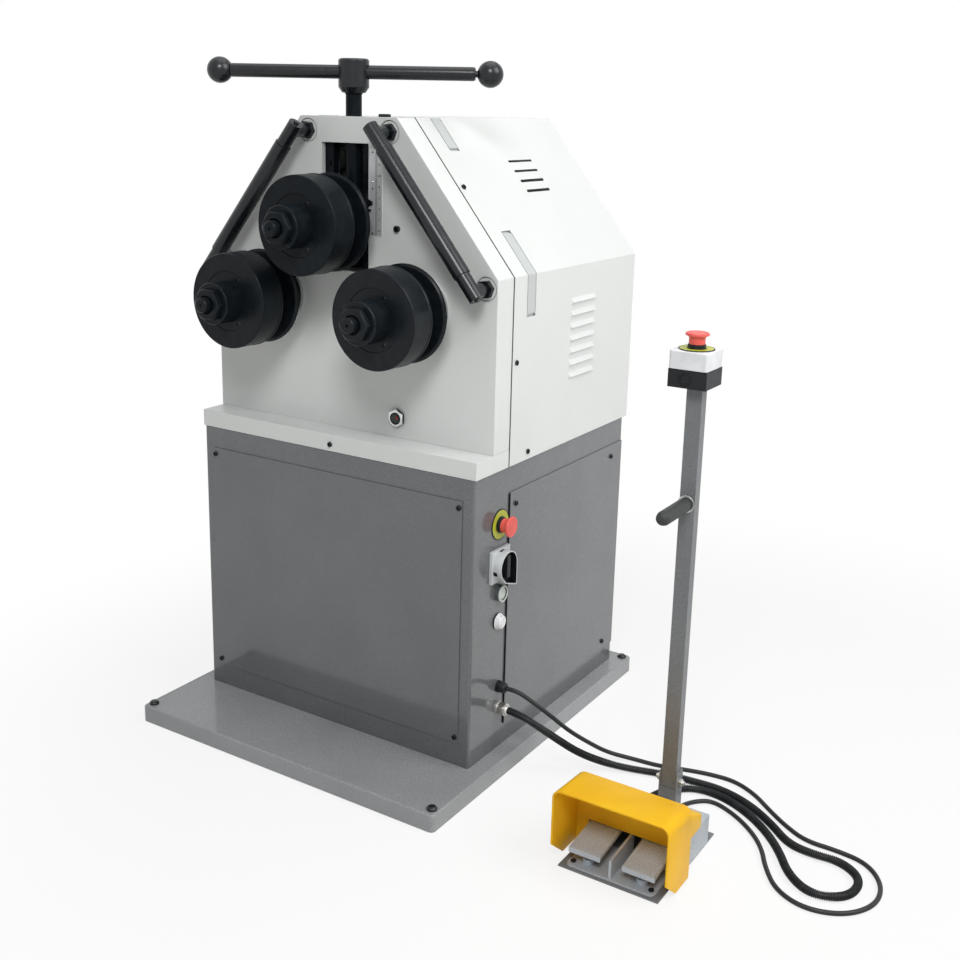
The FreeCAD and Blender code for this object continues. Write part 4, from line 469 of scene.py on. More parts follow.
looks = {
    "base_paint": speckledEnamel("baseEnamel", (0.19, 0.199, 0.207), (0.41, 0.423, 0.433),
                                 coat=0.6),
    "cabinet_paint": speckledEnamel("cabinetEnamel", (0.078, 0.084, 0.09),
                                    (0.17, 0.179, 0.187), coat=1.0),
    "head_paint": satinEnamel("headEnamel", (0.75, 0.77, 0.755), (0.7, 0.72, 0.705)),
    "black_oxide": blackOxide("blackOxide"),
    "ground_steel": groundSteel("groundSteel", (0.55, 0.56, 0.57)),
    "frame_steel": satinEnamel("greyPrimer", (0.56, 0.585, 0.58), (0.46, 0.48, 0.475)),
    "zinc_screw": blackOxide("blackScrew"),
    "scale_steel": ruleLook("ruleSteel"),
    "sight_chrome": platedMetal("sightChrome", (0.64, 0.65, 0.66)),
    "drive_paint": satinEnamel("driveEnamel", (0.05, 0.09, 0.16), (0.04, 0.07, 0.12)),
    "plate_zinc": groundSteel("zincPlate", (0.6, 0.61, 0.6), (60, 60, 60)),
    "legend_yellow": cloudedLook(
        "legendYellow", (0.56, 0.6, 0.045), (0.42, 0.47, 0.03), (160, 3), (0, 1), (0.36, 0.1),
        (1600, 0.1, 0.0001)),
    "coral_plastic": mouldedPlastic("coralPlastic", (0.88, 0.125, 0.105), 0.34),
    "white_plastic": mouldedPlastic("whitePlastic", (0.86, 0.88, 0.9), 0.42),
    "black_plastic": mouldedPlastic("blackPlastic", (0.012, 0.014, 0.0165), 0.36, 0.25),
    "button_plastic": mouldedPlastic("buttonPlastic", (0.58, 0.64, 0.6), 0.35),
    "gland_nickel": platedMetal("glandNickel", (0.62, 0.61, 0.58), 0.22),
    "stand_paint": speckledEnamel("standEnamel", (0.14, 0.149, 0.158), (0.225, 0.235, 0.245), 700),
    "pedal_aluminium": castAluminium("castAluminium", (0.52, 0.565, 0.61)),
    "guard_yellow": cloudedLook(
        "guardYellow", (0.92, 0.52, 0.016), (0.84, 0.44, 0.012), (16, 3), (0.35, 0.8),
        (0.34, 0.12), (330, 0.1, 0.0004), Specular_IOR_Level=0.12),
}
barBlack = blackOxide("barBlack", shine=0.38, grain=0.03)
switchGrey = mouldedPlastic("switchGrey", (0.6, 0.625, 0.64), 0.4)
# a dark grey for painted shade in the stud spot faces and a painted dark reflection on the oil
# sight nut's sides
paintedShadeGrey = mouldedPlastic("paintedShadeGrey", (0.045, 0.047, 0.05), 0.5, 0.2)
slotBlack = blackOxide("slotBlack", shine=0.06)
gripRubber = mouldedPlastic("gripRubber", (0.04, 0.044, 0.043), 0.5, 0.35)
cavityBlack = mouldedPlastic("cavityBlack", (0.006, 0.0065, 0.009), 0.45, 0.12)
barrelGrey = mouldedPlastic("barrelGrey", (0.1, 0.11, 0.115), 0.3)
floatRed = mouldedPlastic("floatRed", (0.52, 0.016, 0.014), 0.4, 0.15)
partLooks = [
    (barBlack, ("tommy_bar", "tee_hub", "left_side_bar", "right_side_bar", "anchor_bolts")),
    (slotBlack, ("slide_block", "slide_keepers", "pressure_screw")),
    (gripRubber, ("stand_grip",)),
] + [(look, (side + "_roll_rings", side + "_roll_nut", side + "_shaft"))
     for side, look in rollLooks.items()]
lookOf = {name: look for look, names in partLooks for name in names}
slotOf = {row["node"]: row["material_slot"] for row in frame["record"]["subparts"]}
for name, thing in cadNodes.items():
    if not thing.hide_render:
        thing.data.materials.clear()
        thing.data.materials.append(lookOf.get(name) or looks[slotOf[name]])
print("scene: finishes given")


bodies = frame["record"]["behaviour"]["bodies"]
bodyOf = {name: body for body, names in bodies.items() for name in names}

edgeWidths = {  # by width in metres, the parts whose edges are broken
    0.0018: ("head_base", "pedal_housing"),
    0.0012: ("front_plate", "left_pedal", "right_pedal", "control_box_base"),
    0.001: ("base_plate", "anchor_bolts", "yoke_block", "hood", "slide_block"),
    0.0009: ("tee_hub", "main_switch_knob", "pedal_base", "stand_column"),
    0.0008: ("cabinet_shell", "front_panel", "side_panel", "left_side_bar", "right_side_bar",
             "pressure_screw", "top_roll_rings", "left_roll_rings", "right_roll_rings",
             "control_box_lid"),
    0.0007: ("stand_fasteners",),
    0.0006: ("slide_keepers", "scale_pointer", "tommy_bar", "top_shaft", "left_shaft",
             "right_shaft", "stand_foot"),
    0.0005: ("start_button_cap",),
}


def mergedCopy(name, label):  # a copy of a part, with its loose triangles made one surface
    only(cadNodes[name])
    bpy.ops.object.duplicate()
    made = named(label)
    del made["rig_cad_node"]
    editMesh("VERT")
    bpy.ops.mesh.customdata_custom_splitnormals_clear()
    bpy.ops.mesh.remove_doubles(threshold=0.00001)
    bpy.ops.mesh.dissolve_limited(angle_limit=math.radians(0.6))
    closeMesh()
    return made


skirtValues = {
    "proud": (1.0012, 1.001),  # how far the hood's sheet stands out past the ledge
    "gap": 0.0008,
    "foot": 0.002,  # edges this close to the sheet's foot are let down
}


def lowerSkirt(hood, values):  # the hood's sheet hangs down over the sides of the ledge
    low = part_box("hood")[0]
    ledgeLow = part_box("head_base")[0].z + values["gap"]
    chooseEdges(hood, lambda a, b: max(a.z, b.z) < low.z + values["foot"])
    bpy.ops.transform.translate(value=(0, 0, ledgeLow - low.z))
    bpy.ops.mesh.select_all(action="SELECT")
    wide, deep = values["proud"]
    bpy.ops.transform.resize(value=(wide, deep, 1), center_override=(0, low.y, 0))
    closeMesh()


sharpAngle = 32  # degrees; flatter edges are neither broken nor kept sharp


def softened(name, width):  # a copy of a part with its edges broken, which stands for it
    made = mergedCopy(name, name + "_edged")
    if name == "hood":
        lowerSkirt(made, skirtValues)
    bevel(made, width, angle=sharpAngle, clamp=False)
    bpy.ops.object.shade_smooth_by_angle(angle=math.radians(sharpAngle))
    flat = made.modifiers.new("flat", "WEIGHTED_NORMAL")  # keeps the broad faces flat
    flat.keep_sharp = True
    applyAll(made)
    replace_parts(made, name)
    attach(made, bodyOf[name])
    return made


plateJoint = mergedCopy("front_plate", "plateJoint")
edged = {name: softened(name, width) for width, names in edgeWidths.items() for name in names}
print("scene: edges broken on", len(edged), "parts,",
      sum(len(thing.data.polygons) for thing in edged.values()), "faces")


turns = {
    "X": (0, math.pi / 2, 0),
    "-Y": (math.pi / 2, 0, 0),
    "Z": (0, 0, 0),
    "-X": (0, -math.pi / 2, 0),
    "slope": (0, math.atan2(0.2739, 0.22125), 0),  # square to the hood's right slope
}
halfTurn = (0, 0, math.pi)


def settle(thing, turn=(0, 0, 0), at=(0, 0, 0)):  # turns and places a piece in its mesh
    only(thing)
    thing.rotation_euler = turn
    thing.location = at
    bpy.ops.object.transform_apply()
    return thing


def fixPlace(thing, axis="Z", at=(0, 0, 0), smooth=35):
    settle(thing, turns[axis], at)
    bpy.ops.object.shade_smooth_by_angle(angle=math.radians(smooth))
    return thing


def give(thing, slot, body="machine", look=None, part=None):  # finish, slot, body, CAD part
    thing.data.materials.clear()
    thing.data.materials.append(look or looks[slot])
    if part:
        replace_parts(thing, part)
    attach(thing, body)
    return thing


def blacken(thing):
    return give(thing, "black_plastic", look=cavityBlack)


def paintFaces(thing, look, chosen):  # a second finish on the faces that a test picks
    thing.data.materials.append(look)
    second = len(thing.data.materials) - 1
    for face in thing.data.polygons:
        if chosen(face.center, face.normal):
            face.material_index = second


def turnedPiece(name, axis, at, profile, sides=48, hollow=False):
    radius, low = profile[0]
    bpy.ops.mesh.primitive_circle_add(vertices=sides, radius=radius, location=(0, 0, low))
    made = named(name)
    bpy.ops.object.transform_apply()
    editMesh("EDGE")
    for (lastRadius, lastHigh), (radius, high) in zip(profile, profile[1:]):
        extrude(0, 0, high - lastHigh)
        grow = radius / lastRadius
        bpy.ops.transform.resize(value=(grow, grow, 1))
    bpy.ops.mesh.select_all(action="DESELECT")
    bpy.ops.mesh.select_non_manifold()
    if hollow:
        bpy.ops.mesh.bridge_edge_loops()
    else:
        bpy.ops.mesh.fill_holes(sides=0)
    closeOutward()
    return fixPlace(made, axis, at)


def booleanWith(thing, tool, operation):
    cut = thing.modifiers.new("cut", "BOOLEAN")
    cut.operation = operation
    cut.object = tool
    applyAll(thing)
    bpy.data.objects.remove(tool)


def hexPrism(name, across, low, high, turn=0.0):
    bpy.ops.mesh.primitive_cylinder_add(vertices=6, radius=across / math.sqrt(3),
                                        depth=high - low)
    return settle(named(name), (0, 0, turn), (0, 0, (low + high) / 2))


nutShape = {
    "face": 0.475,  # radius of the flat ends, as a share of the width across flats
    "cut": 0.55,  # slope of the cone that cuts the corners
    "edge": 0.0004,
}


def hexNut(name, axis, at, across, tall, turn=math.radians(30)):  # corners cut back to a cone
    made = hexPrism(name, across, 0, tall, turn)
    corner, face = across / math.sqrt(3), nutShape["face"] * across
    drop = nutShape["cut"] * (corner - face)
    wide = corner + nutShape["edge"]
    cone = turnedPiece(name + "Cone", "Z", (0, 0, 0),
                       [(face, 0), (wide, drop), (wide, tall - drop), (face, tall)], 60)
    booleanWith(made, cone, "INTERSECT")
    bevel(made, nutShape["edge"], angle=25)
    return fixPlace(made, axis, at, 30)


socketShape = {"chamfer": 0.12, "middle": 0.2, "across": 1.05, "deep": 0.45}  # shares


def socketScrew(name, radius, tall, shape=socketShape):  # a cap screw's head on the origin
    chamfer = shape["chamfer"] * radius
    profile = [(radius, -0.0005), (radius, tall - chamfer), (radius - chamfer, tall),
               (shape["middle"] * radius, tall)]
    made = turnedPiece(name, "Z", (0, 0, 0), profile, 28)
    booleanWith(made, hexPrism(name + "Socket", shape["across"] * radius, shape["deep"] * tall,
                               tall + 0.002), "DIFFERENCE")
    return fixPlace(made)


def copyTo(source, axis, at):
    only(source)
    bpy.ops.object.duplicate()
    return settle(bpy.context.object, turns[axis], at)


def joined(name, things):
    only(things[0])
    for thing in things:
        thing.select_set(True)
    bpy.ops.object.join()
    return named(name)


def cube(name, low, high):
    bpy.ops.mesh.primitive_cube_add(size=1, location=[(a + b) / 2 for a, b in zip(low, high)],
                                    scale=[b - a for a, b in zip(low, high)])
    bpy.ops.object.transform_apply()
    return named(name)


def padPiece(name, low, high, edge):  # a block with rounded edges
    made = cube(name, low, high)
    bevel(made, edge, 3)
    return fixPlace(made)


screwValues = {
    "cover": (0.005, 0.0035),  # radius and height of the head
    "places": {
        "-Y": [(x, -0.2375, z) for x in (-0.2995, 0.2995) for z in (0.095, 0.552)]
        + [(0.0, -0.235, 0.621)],
        "X": [(0.3325, y, z) for y in (-0.0905, 0.313) for z in (0.0975, 0.529)]
        + [(0.33375, -0.107, 0.8034), (0.33375, -0.055, 0.6236)],
        "-X": [(-0.33375, -0.107, 0.8034)],
        "slope": [(0.2111, -0.107, 1.1137)],
    },
    "plate": (0.006, 0.006),
    "platePlace": (0.1154, -0.178, 1.0367),
    "plugPlace": (0.068, -0.155, 1.2349),
    "plug": [(0.0115, 0), (0.0115, 0.0045), (0.0103, 0.0055), (0.0045, 0.0055), (0.004, 0.0035)],
}


def makeScrews(values):
    head = socketScrew("coverScrew", *values["cover"])
    copies = [copyTo(head, axis, at) for axis, spots in values["places"].items() for at in spots]
    bpy.data.objects.remove(head)
    big = socketScrew("plateScrew", *values["plate"])
    copies.append(copyTo(big, "-Y", values["platePlace"]))
    bpy.data.objects.remove(big)
    plug = turnedPiece("fillerPlug", "Z", values["plugPlace"], values["plug"], 36)
    screws = joined("coverScrews", copies + [plug])
    give(screws, "zinc_screw", part="cover_screws")


hubValues = {
    "screw": (0.0043, 0.0038),
    "ring": 0.047,
    "seat": 0.0482,  # from the front of the rings back to the face that the heads stand on
    "angles": (60, 180, 300),
    "nut": (0.055, 0.0144),  # across flats, and height
}


def makeHubScrewsAndNuts(values):
    screw = socketScrew("hubScrew", *values["screw"])
    ring = values["ring"]
    for side, look in rollLooks.items():
        low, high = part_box(side + "_roll_nut")
        centre = (low + high) / 2
        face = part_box(side + "_roll_rings")[0].y + values["seat"]
        copies = []
        for angle in values["angles"]:
            turn = math.radians(angle)
            copies.append(copyTo(screw, "-Y", (centre.x + ring * math.cos(turn), face,
                                               centre.z + ring * math.sin(turn))))
        give(joined(side + "HubScrews", copies), "zinc_screw", side + "_roll")
        nut = hexNut(side + "RollNut", "-Y", (centre.x, high.y, centre.z), *values["nut"])
        give(nut, "black_oxide", side + "_roll", look, side + "_roll_nut")
    bpy.data.objects.remove(screw)


makeScrews(screwValues)
makeHubScrewsAndNuts(hubValues)
print("scene: screws and nuts made")


stopValues = {
    "machine": ("X", (0.33, -0.1425, 0.5005)),
    "stand": ("Z", (0.695, -0.141, 0.8784)),
    "mount": [(0.0063, -0.02), (0.0108, -0.02), (0.0108, 0), (0.03, 0), (0.03, 0.0012),
        (0.0297, 0.0015), (0.0297, 0.0017), (0.0282, 0.0017), (0.0282, 0.0015), (0.0162, 0.0015),
        (0.0162, 0.003), (0.015, 0.0035), (0.015, 0.0077), (0.0142, 0.0085), (0.0139, 0.0085),
        (0.0139, 0.0019), (0.0063, 0.0019)],
    "yellow": (0.0163, 0.0282),  # the yellow part of the legend, between two radii
    "stem": [(0.006, -0.008), (0.006, 0.0082), (0.0131, 0.0082), (0.0136, 0.0087),
        (0.0136, 0.0172)],
    "flare": (0.0136, 0.0196, 0.0177, 0.0232),  # inner and outer radius, low and high end
    "crown": [(0.02, 0.0244), (0.02, 0.0254), (0.0194, 0.0268), (0.018, 0.0276), (0.0155, 0.0276),
        (0.0148, 0.0271), (0.008, 0.0274), (0.001, 0.0276)],
}


def makeStopButton(values, place):
    axis, at = values[place]
    mount = turnedPiece(place + "StopMount", axis, at, values["mount"], 64, hollow=True)
    give(mount, "legend_yellow")

    def dark(centre, normal):
        spot = centre - Vector(at)
        along = spot.x if axis == "X" else spot.z
        radius = math.sqrt(max(spot.length_squared - along * along, 0))
        return not values["yellow"][0] <= radius <= values["yellow"][1]

    paintFaces(mount, looks["black_plastic"], dark)
    inner, outer, low, high = values["flare"]
    turns90 = [part * math.pi / 2 for part in (0.2, 0.4, 0.6, 0.8, 1.0)]
    flare = [(inner + (outer - inner) * (1 - math.cos(turn)), low + (high - low) * math.sin(turn))
             for turn in turns90]
    button = turnedPiece(place + "StopButton", axis, at,
                         values["stem"] + flare + values["crown"], 64)
    give(button, "coral_plastic", place + "_estop", part=place + "_estop_head")
    return mount


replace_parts(makeStopButton(stopValues, "machine"), "estop_mounts")
makeStopButton(stopValues, "stand")
boltLow = 0.05  # what lies higher in stand_fasteners is the bracket's plated bolt
paintFaces(edged["stand_fasteners"], looks["plate_zinc"], lambda centre, normal: centre.z > boltLow)


switchValues = {
    "centre": (-0.145, 0.423), "side": 0.064, "face": (0.33, 0.337), "front": 0.355,
    "radius": 0.03,
    "arcEnd": 230,  # degrees
    "edge": 0.0004, "plateEdge": 0.0008, "sunk": 0.001,
    "wall": 0.0022, "well": 0.013,
    "skirt": [(-0.01, -0.0318), (0.0265, -0.044), (0.0292, -0.0432), (0.03, -0.041)],
    "notches": [(200, 0.3376, 0.3455, 0.0085), (97, 0.3382, 0.342, 0.011)],
    "notchDeep": (0.0291, 0.0303),
}


def makeSwitch(values):  # plate, arch with a sloping foot, black well
    y, z = values["centre"]
    half = values["side"] / 2
    back, face = values["face"]
    plate = padPiece("switchPlate", (back, y - half, z - half), (face, y + half, z + half),
                     values["plateEdge"])
    radius, sunk = values["radius"], face - values["sunk"]
    arc = [(radius * math.cos(math.radians(turn)), radius * math.sin(math.radians(turn)))
           for turn in range(0, values["arcEnd"] + 1, 10)]
    outline = arc + values["skirt"]
    bpy.ops.mesh.primitive_circle_add(vertices=len(outline), radius=radius, fill_type="NGON")
    arch = named("switchArch")
    for vertex, (across, up) in zip(arch.data.vertices, outline):
        vertex.co = (sunk, y + across, z + up)
    editMesh("FACE")
    extrude(values["front"] - sunk, 0, 0)
    bpy.ops.mesh.inset(thickness=values["wall"])
    extrude(-values["well"], 0, 0)
    closeOutward()
    bevel(arch, values["edge"], angle=60)
    fixPlace(arch)
    switch = joined("mainSwitch", [plate, arch])
    give(switch, "white_plastic", look=switchGrey, part="main_switch_plate")
    floor = values["front"] - values["well"]

    def inside(centre, normal):
        if centre.x < floor - 0.0002 or centre.x > values["front"] - 0.0007:
            return False
        inwards = (centre.y - y) * normal.y + (centre.z - z) * normal.z
        return inwards < -0.001 or normal.x > 0.9

    paintFaces(switch, cavityBlack, inside)
    deep, proud = values["notchDeep"]
    for turn, low, high, wide in values["notches"]:
        notch = padPiece("switchNotch" + str(turn), (low, deep, -wide / 2),
                         (high, proud, wide / 2), 0.0002)
        settle(notch, (math.radians(turn), 0, 0), (0, y, z))
        blacken(notch)


lampValues = {
    "at": (0.33, -0.142, 0.306),
    "profile": [(0.0163, 0), (0.0163, 0.003), (0.0157, 0.0036), (0.0144, 0.0038),
        (0.0144, 0.0068), (0.0138, 0.0074), (0.013, 0.0074), (0.013, 0.0108), (0.0124, 0.0116),
        (0.011, 0.0116), (0.0104, 0.0126), (0.0098, 0.013), (0.002, 0.0127)],
    "black": 0.0031,  # how far out the black foot reaches
}

buttonValues = {
    "at": (0.33, -0.1395, 0.363),
    "profile": [(0.0128, -0.015), (0.0135, -0.015), (0.0135, 0), (0.0163, 0), (0.0163, 0.0088),
        (0.0165, 0.0092), (0.0165, 0.0105), (0.0158, 0.011), (0.0135, 0.011), (0.0128, 0.0103)],
    "grey": 0.0089,
}


def makeLampAndButton(lamp, button):
    lens = turnedPiece("pilotLamp", "X", lamp["at"], lamp["profile"])
    give(lens, "white_plastic", part="button_and_lamp")
    foot = lamp["at"][0] + lamp["black"]
    paintFaces(lens, looks["black_plastic"], lambda centre, normal: centre.x < foot)
    bezel = turnedPiece("buttonBezel", "X", button["at"], button["profile"], hollow=True)
    give(bezel, "button_plastic")
    edge = button["at"][0] + button["grey"]
    paintFaces(bezel, barrelGrey, lambda centre, normal: centre.x < edge)


glandValues = {  # place, profile, and the nut's seat, width across flats and height
    "nylon": ((0.33, -0.1326, 0.1668), [
        (0.0043, -0.01), (0.0079, -0.01), (0.0079, 0), (0.012, 0), (0.012, 0.0016),
        (0.0115, 0.002), (0.01, 0.002), (0.01, 0.0152), (0.0096, 0.0168), (0.0084, 0.0186),
        (0.0068, 0.0198), (0.0058, 0.02), (0.0043, 0.0192),
    ], (0.003, 0.022, 0.009)),
    "nickel": ((0.33, -0.1302, 0.1205), [
        (0.0076, -0.01), (0.0089, -0.01), (0.0089, 0), (0.013, 0), (0.013, 0.0024),
        (0.0124, 0.003), (0.0105, 0.003), (0.0105, 0.0205), (0.01, 0.022), (0.0086, 0.0238),
        (0.0076, 0.024),
    ], (0.0045, 0.024, 0.015)),
}


def makeGland(values, kind):
    at, profile, (seat, across, tall) = values[kind]
    body = turnedPiece(kind + "Body", "X", at, profile, 40, hollow=True)
    nut = hexNut(kind + "Nut", "X", (at[0] + seat, at[1], at[2]), across, tall)
    return joined(kind + "Gland", [body, nut])


makeSwitch(switchValues)
makeLampAndButton(lampValues, buttonValues)
give(makeGland(glandValues, "nylon"), "black_plastic", part="cable_glands")
give(makeGland(glandValues, "nickel"), "gland_nickel")
print("scene: controls made")


sightValues = {
    "at": (0.1182, -0.178, 0.6804),
    "nut": (0.0325, 0.0078, 0),  # across flats, height and turn
    "seat": [(0.006, -0.02), (0.006, 0.0068), (0.0118, 0.0068), (0.0118, 0.0084), (0.011, 0.0088),
        (0.0094, 0.0086), (0.0091, 0.0078)],
    "glass": [(0.0092, 0.0076), (0.0092, 0.0082), (0.008, 0.0085), (0.0042, 0.0088),
        (0.0012, 0.009)],
    "float": [(0.0024, 0.0078), (0.0024, 0.0092), (0.00144, 0.0096), (0.00024, 0.0097)],
    "floatPlace": (0.1227, -0.178, 0.6824),
}


def sightGlassLook():
    wire, where = newLook("sightGlass")
    depth = noise(wire, where, 260, 2)
    colour = mixColour(wire, depth, (0.004, 0.006, 0.008), (0.05, 0.075, 0.07))
    return connect(wire, colour, 0.08 + 0.05 * depth, Specular_IOR_Level=0.3)


def makeSight(values):
    at = values["at"]
    nut = hexNut("oilSight", "-Y", at, *values["nut"])
    give(nut, "sight_chrome", part="oil_sight")
    # the nut's sides, the faces not turned forward, get dark grey: a painted dark reflection
    paintFaces(nut, paintedShadeGrey, lambda centre, normal: normal.y > -0.5)
    blacken(turnedPiece("sightSeat", "-Y", at, values["seat"]))
    pane = turnedPiece("sightGlass", "-Y", at, values["glass"], 40)
    give(pane, "sight_chrome", look=sightGlassLook())
    bead = turnedPiece("sightFloat", "-Y", values["floatPlace"], values["float"], 20)
    give(bead, "coral_plastic", look=floatRed)


ruleValues = {
    "face": -0.179, "screw": (0.0015, 0.0008),
    "screws": [(0.059, -0.179, high) for high in (1.025, 1.1065, 1.172)],
    "pin": [(0.0015, -0.0003), (0.0015, 0.0004), (0.0009, 0.0009), (0.00015, 0.0011)],
    "pins": [(0.0586, -0.179, high) for high in (1.0345, 1.119)],
    "numberX": 0.0742, "numberSize": 0.0062, "first": 1.03, "step": 0.02, "count": 8,
}


def makeRuleDetails(values):
    head = socketScrew("ruleScrew", *values["screw"])
    copies = [copyTo(head, "-Y", at) for at in values["screws"]]
    bpy.data.objects.remove(head)
    give(joined("ruleScrews", copies), "zinc_screw")
    pins = [turnedPiece("rulePin", "-Y", at, values["pin"], 20) for at in values["pins"]]
    give(joined("rulePins", pins), "sight_chrome")
    figures = []
    for number in range(values["count"]):
        bpy.ops.object.text_add()
        text = bpy.context.object.data
        text.body = str(2 * number)
        text.size = values["numberSize"]
        text.align_x = "CENTER"
        text.align_y = "CENTER"
        text.extrude = 0.00006
        bpy.ops.object.convert(target="MESH")
        high = values["first"] + number * values["step"]
        figures.append(settle(bpy.context.object, turns["-Y"],
                              (values["numberX"], values["face"] - 0.00005, high)))
    blacken(joined("ruleNumbers", figures))


pointerValues = {
    "x": (0.049, 0.0595), "y": (-0.1815, -0.1775), "tall": 0.013, "taper": 0.45,
    "edge": 0.0006, "tip": 0.0012,
}


def makePointer(values):
    low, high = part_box("scale_pointer")
    middle, half = (low.z + high.z) / 2, values["tall"] / 2
    (x, farX), (y, farY) = values["x"], values["y"]
    plate = padPiece("pointerPlate", (x, y, middle - half), (farX, farY, middle + half),
                     values["edge"])
    chooseEdges(plate, lambda a, b: min(a.x, b.x) > farX - values["tip"])
    bpy.ops.transform.resize(value=(1, 1, values["taper"]), center_override=(0, 0, middle))
    closeMesh()
    give(plate, "zinc_screw", "top_slide")


gripValues = {
    "at": (0.697, -0.148, 0.613),
    "washer": [(0.0118, 0), (0.0152, 0), (0.0152, 0.0006), (0.0148, 0.001), (0.0118, 0.001)],
}


seamValues = {
    "panelSeam": [(0.3301, -0.1128, 0.08), (0.3326, -0.11, 0.553)],
    "skirtSeam": [(0.333, -0.1238, 0.608), (0.33425, -0.1209, 0.646)],
    "edge": 0.0004,
    "joint": (-0.1238, 0.0026),  # the joint behind the front plate, and its width
    "jointProud": 1.0011,
    "jointMiddle": 0.93,
    "studs": [(sign * x, -0.1765, z) for sign in (1, -1)
              for x, z in ((0.095, 1.2081), (0.309, 0.9439))],
    # thin dark rings at the walls of the stud spot faces: painted shade of the recesses
    "spotShadeRing": [(0.0206, -0.0004), (0.0217, -0.0004), (0.0217, 0.0003), (0.0206, 0.0003)],
}


def makeSeams(values):
    for name in ("panelSeam", "skirtSeam"):
        blacken(padPiece(name, *values[name], values["edge"]))
    # a dark ring in each stud's spot face, painted shade where the recess wall meets its floor
    rings = [turnedPiece("spotShadeRing", "-Y", at, values["spotShadeRing"], 64, hollow=True)
             for at in values["studs"]]
    give(joined("spotShadeRings", rings), "black_plastic", look=paintedShadeGrey)
    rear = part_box("front_plate")[1].y
    deleteFaces(plateJoint,
                lambda centre, normal: normal.y < 0.99 or abs(centre.y - rear) > 0.0005)
    bpy.ops.mesh.select_all(action="SELECT")
    start, wide = values["joint"]
    bpy.ops.transform.translate(value=(0, start - rear, 0))
    proud = values["jointProud"]
    bpy.ops.transform.resize(value=(proud, 1, proud), center_override=(0, 0, values["jointMiddle"]))
    extrude(0, wide, 0)
    closeOutward()
    blacken(fixPlace(plateJoint))


windowValues = {
    "y": (-0.08, -0.036), "deep": (0.0043, 0.0055), "shoulder": (0.33375, 0.9614),
    "crown": (0.1125, 1.2349), "foot": 0.87, "edge": 0.0003,
    "slots": [(0.1787, 1.1531), (0.1934, 1.1349), (0.2078, 1.1171), (0.2227, 1.0987)],
    # size of the dark strips laid over the hood's four slots, painted shade in the slots
    "slotShadeBox": [(-0.001, 0.1053, -0.0023), (0.0007, 0.1935, 0.0023)],
    "screw": (0.0028, 0.002), "screwPlace": (0.3302, -0.0735, 0.9492),
}


def makeWindowBacks(values):  # the sheet that closes the hood's four windows from inside
    (y, farY), (near, far) = values["y"], values["deep"]
    (shoulderX, shoulderZ), (crownX, crownZ) = values["shoulder"], values["crown"]
    long = math.hypot(crownX - shoulderX, crownZ - shoulderZ)
    lean = (0, math.atan2(crownX - shoulderX, crownZ - shoulderZ), 0)
    backs = []
    for turn in (halfTurn, None):
        side = padPiece("windowSide", (shoulderX - far, y, values["foot"]),
                        (shoulderX - near, farY, shoulderZ - 0.001), values["edge"])
        slope = padPiece("windowSlope", (-far, y, 0.002), (-near, farY, long - 0.002),
                         values["edge"])
        settle(slope, lean, (shoulderX, 0, shoulderZ))
        back = joined("windowBack", [side, slope])
        if turn:
            settle(back, turn, (0, y + farY, 0))
        backs.append(back)
    give(joined("windowBacks", backs), "frame_steel")
    # dark strips over the hood's slots: painted shade that makes the slots read darker
    shadeStrips = [settle(padPiece("slotShadeStrip", *values["slotShadeBox"], 0.0001), lean, (x, 0, z))
              for x, z in values["slots"]]
    blacken(joined("slotShadeStrips", shadeStrips))
    dot = socketScrew("windowScrew", *values["screw"])
    give(copyTo(dot, "X", values["screwPlace"]), "zinc_screw")
    bpy.data.objects.remove(dot)


standPlace = (0.688, -0.235, 0.0)
pedalAside = 0.05

pedalValues = {
    "front": (-0.115, 0.036), "rear": (-0.025, 0.047), "halfWide": 0.03, "margin": 0.0025,
    "columns": 13, "rows": 20, "groove": 0.0008, "high": 0.0007, "sheet": 0.0006,
    "lift": 0.0001,
}


def makeTread(values, side):
    sign = -1 if side == "left" else 1
    (frontY, frontZ), (rearY, rearZ) = values["front"], values["rear"]
    slope = math.atan2(rearZ - frontZ, rearY - frontY)
    long = math.hypot(rearZ - frontZ, rearY - frontY) - 2 * values["margin"]
    wide = 2 * (values["halfWide"] - values["margin"])
    bpy.ops.mesh.primitive_grid_add(x_subdivisions=values["columns"],
                                    y_subdivisions=values["rows"], size=1)
    tread = named(side + "Tread")
    tread.scale = (wide, long, 1)
    bpy.ops.object.transform_apply()
    editMesh("FACE")
    bpy.ops.mesh.inset(thickness=values["groove"], depth=values["high"], use_individual=True)
    closeMesh()
    base = tread.modifiers.new("base", "SOLIDIFY")
    base.thickness = values["sheet"]
    base.offset = -1
    applyAll(tread)
    x, y, z = standPlace
    settle(tread, (slope, 0, 0), (x + sign * pedalAside, y + (frontY + rearY) / 2,
                                  (frontZ + rearZ) / 2 + values["lift"]))
    give(tread, "pedal_aluminium", side + "_pedal")


padValues = {
    "ahead": -0.095, "up": 0.007,
    "profile": [(0.0105, 0), (0.0105, 0.0075), (0.0093, 0.0087), (0.0075, 0.009),
        (0.003, 0.0092)],
}


def makePads(values):
    x, y, z = standPlace
    for name, aside in (("pedalPadLeft", -pedalAside), ("pedalPadRight", pedalAside)):
        at = (x + aside, y + values["ahead"], values["up"])
        give(turnedPiece(name, "Z", at, values["profile"], 32), "pedal_aluminium")


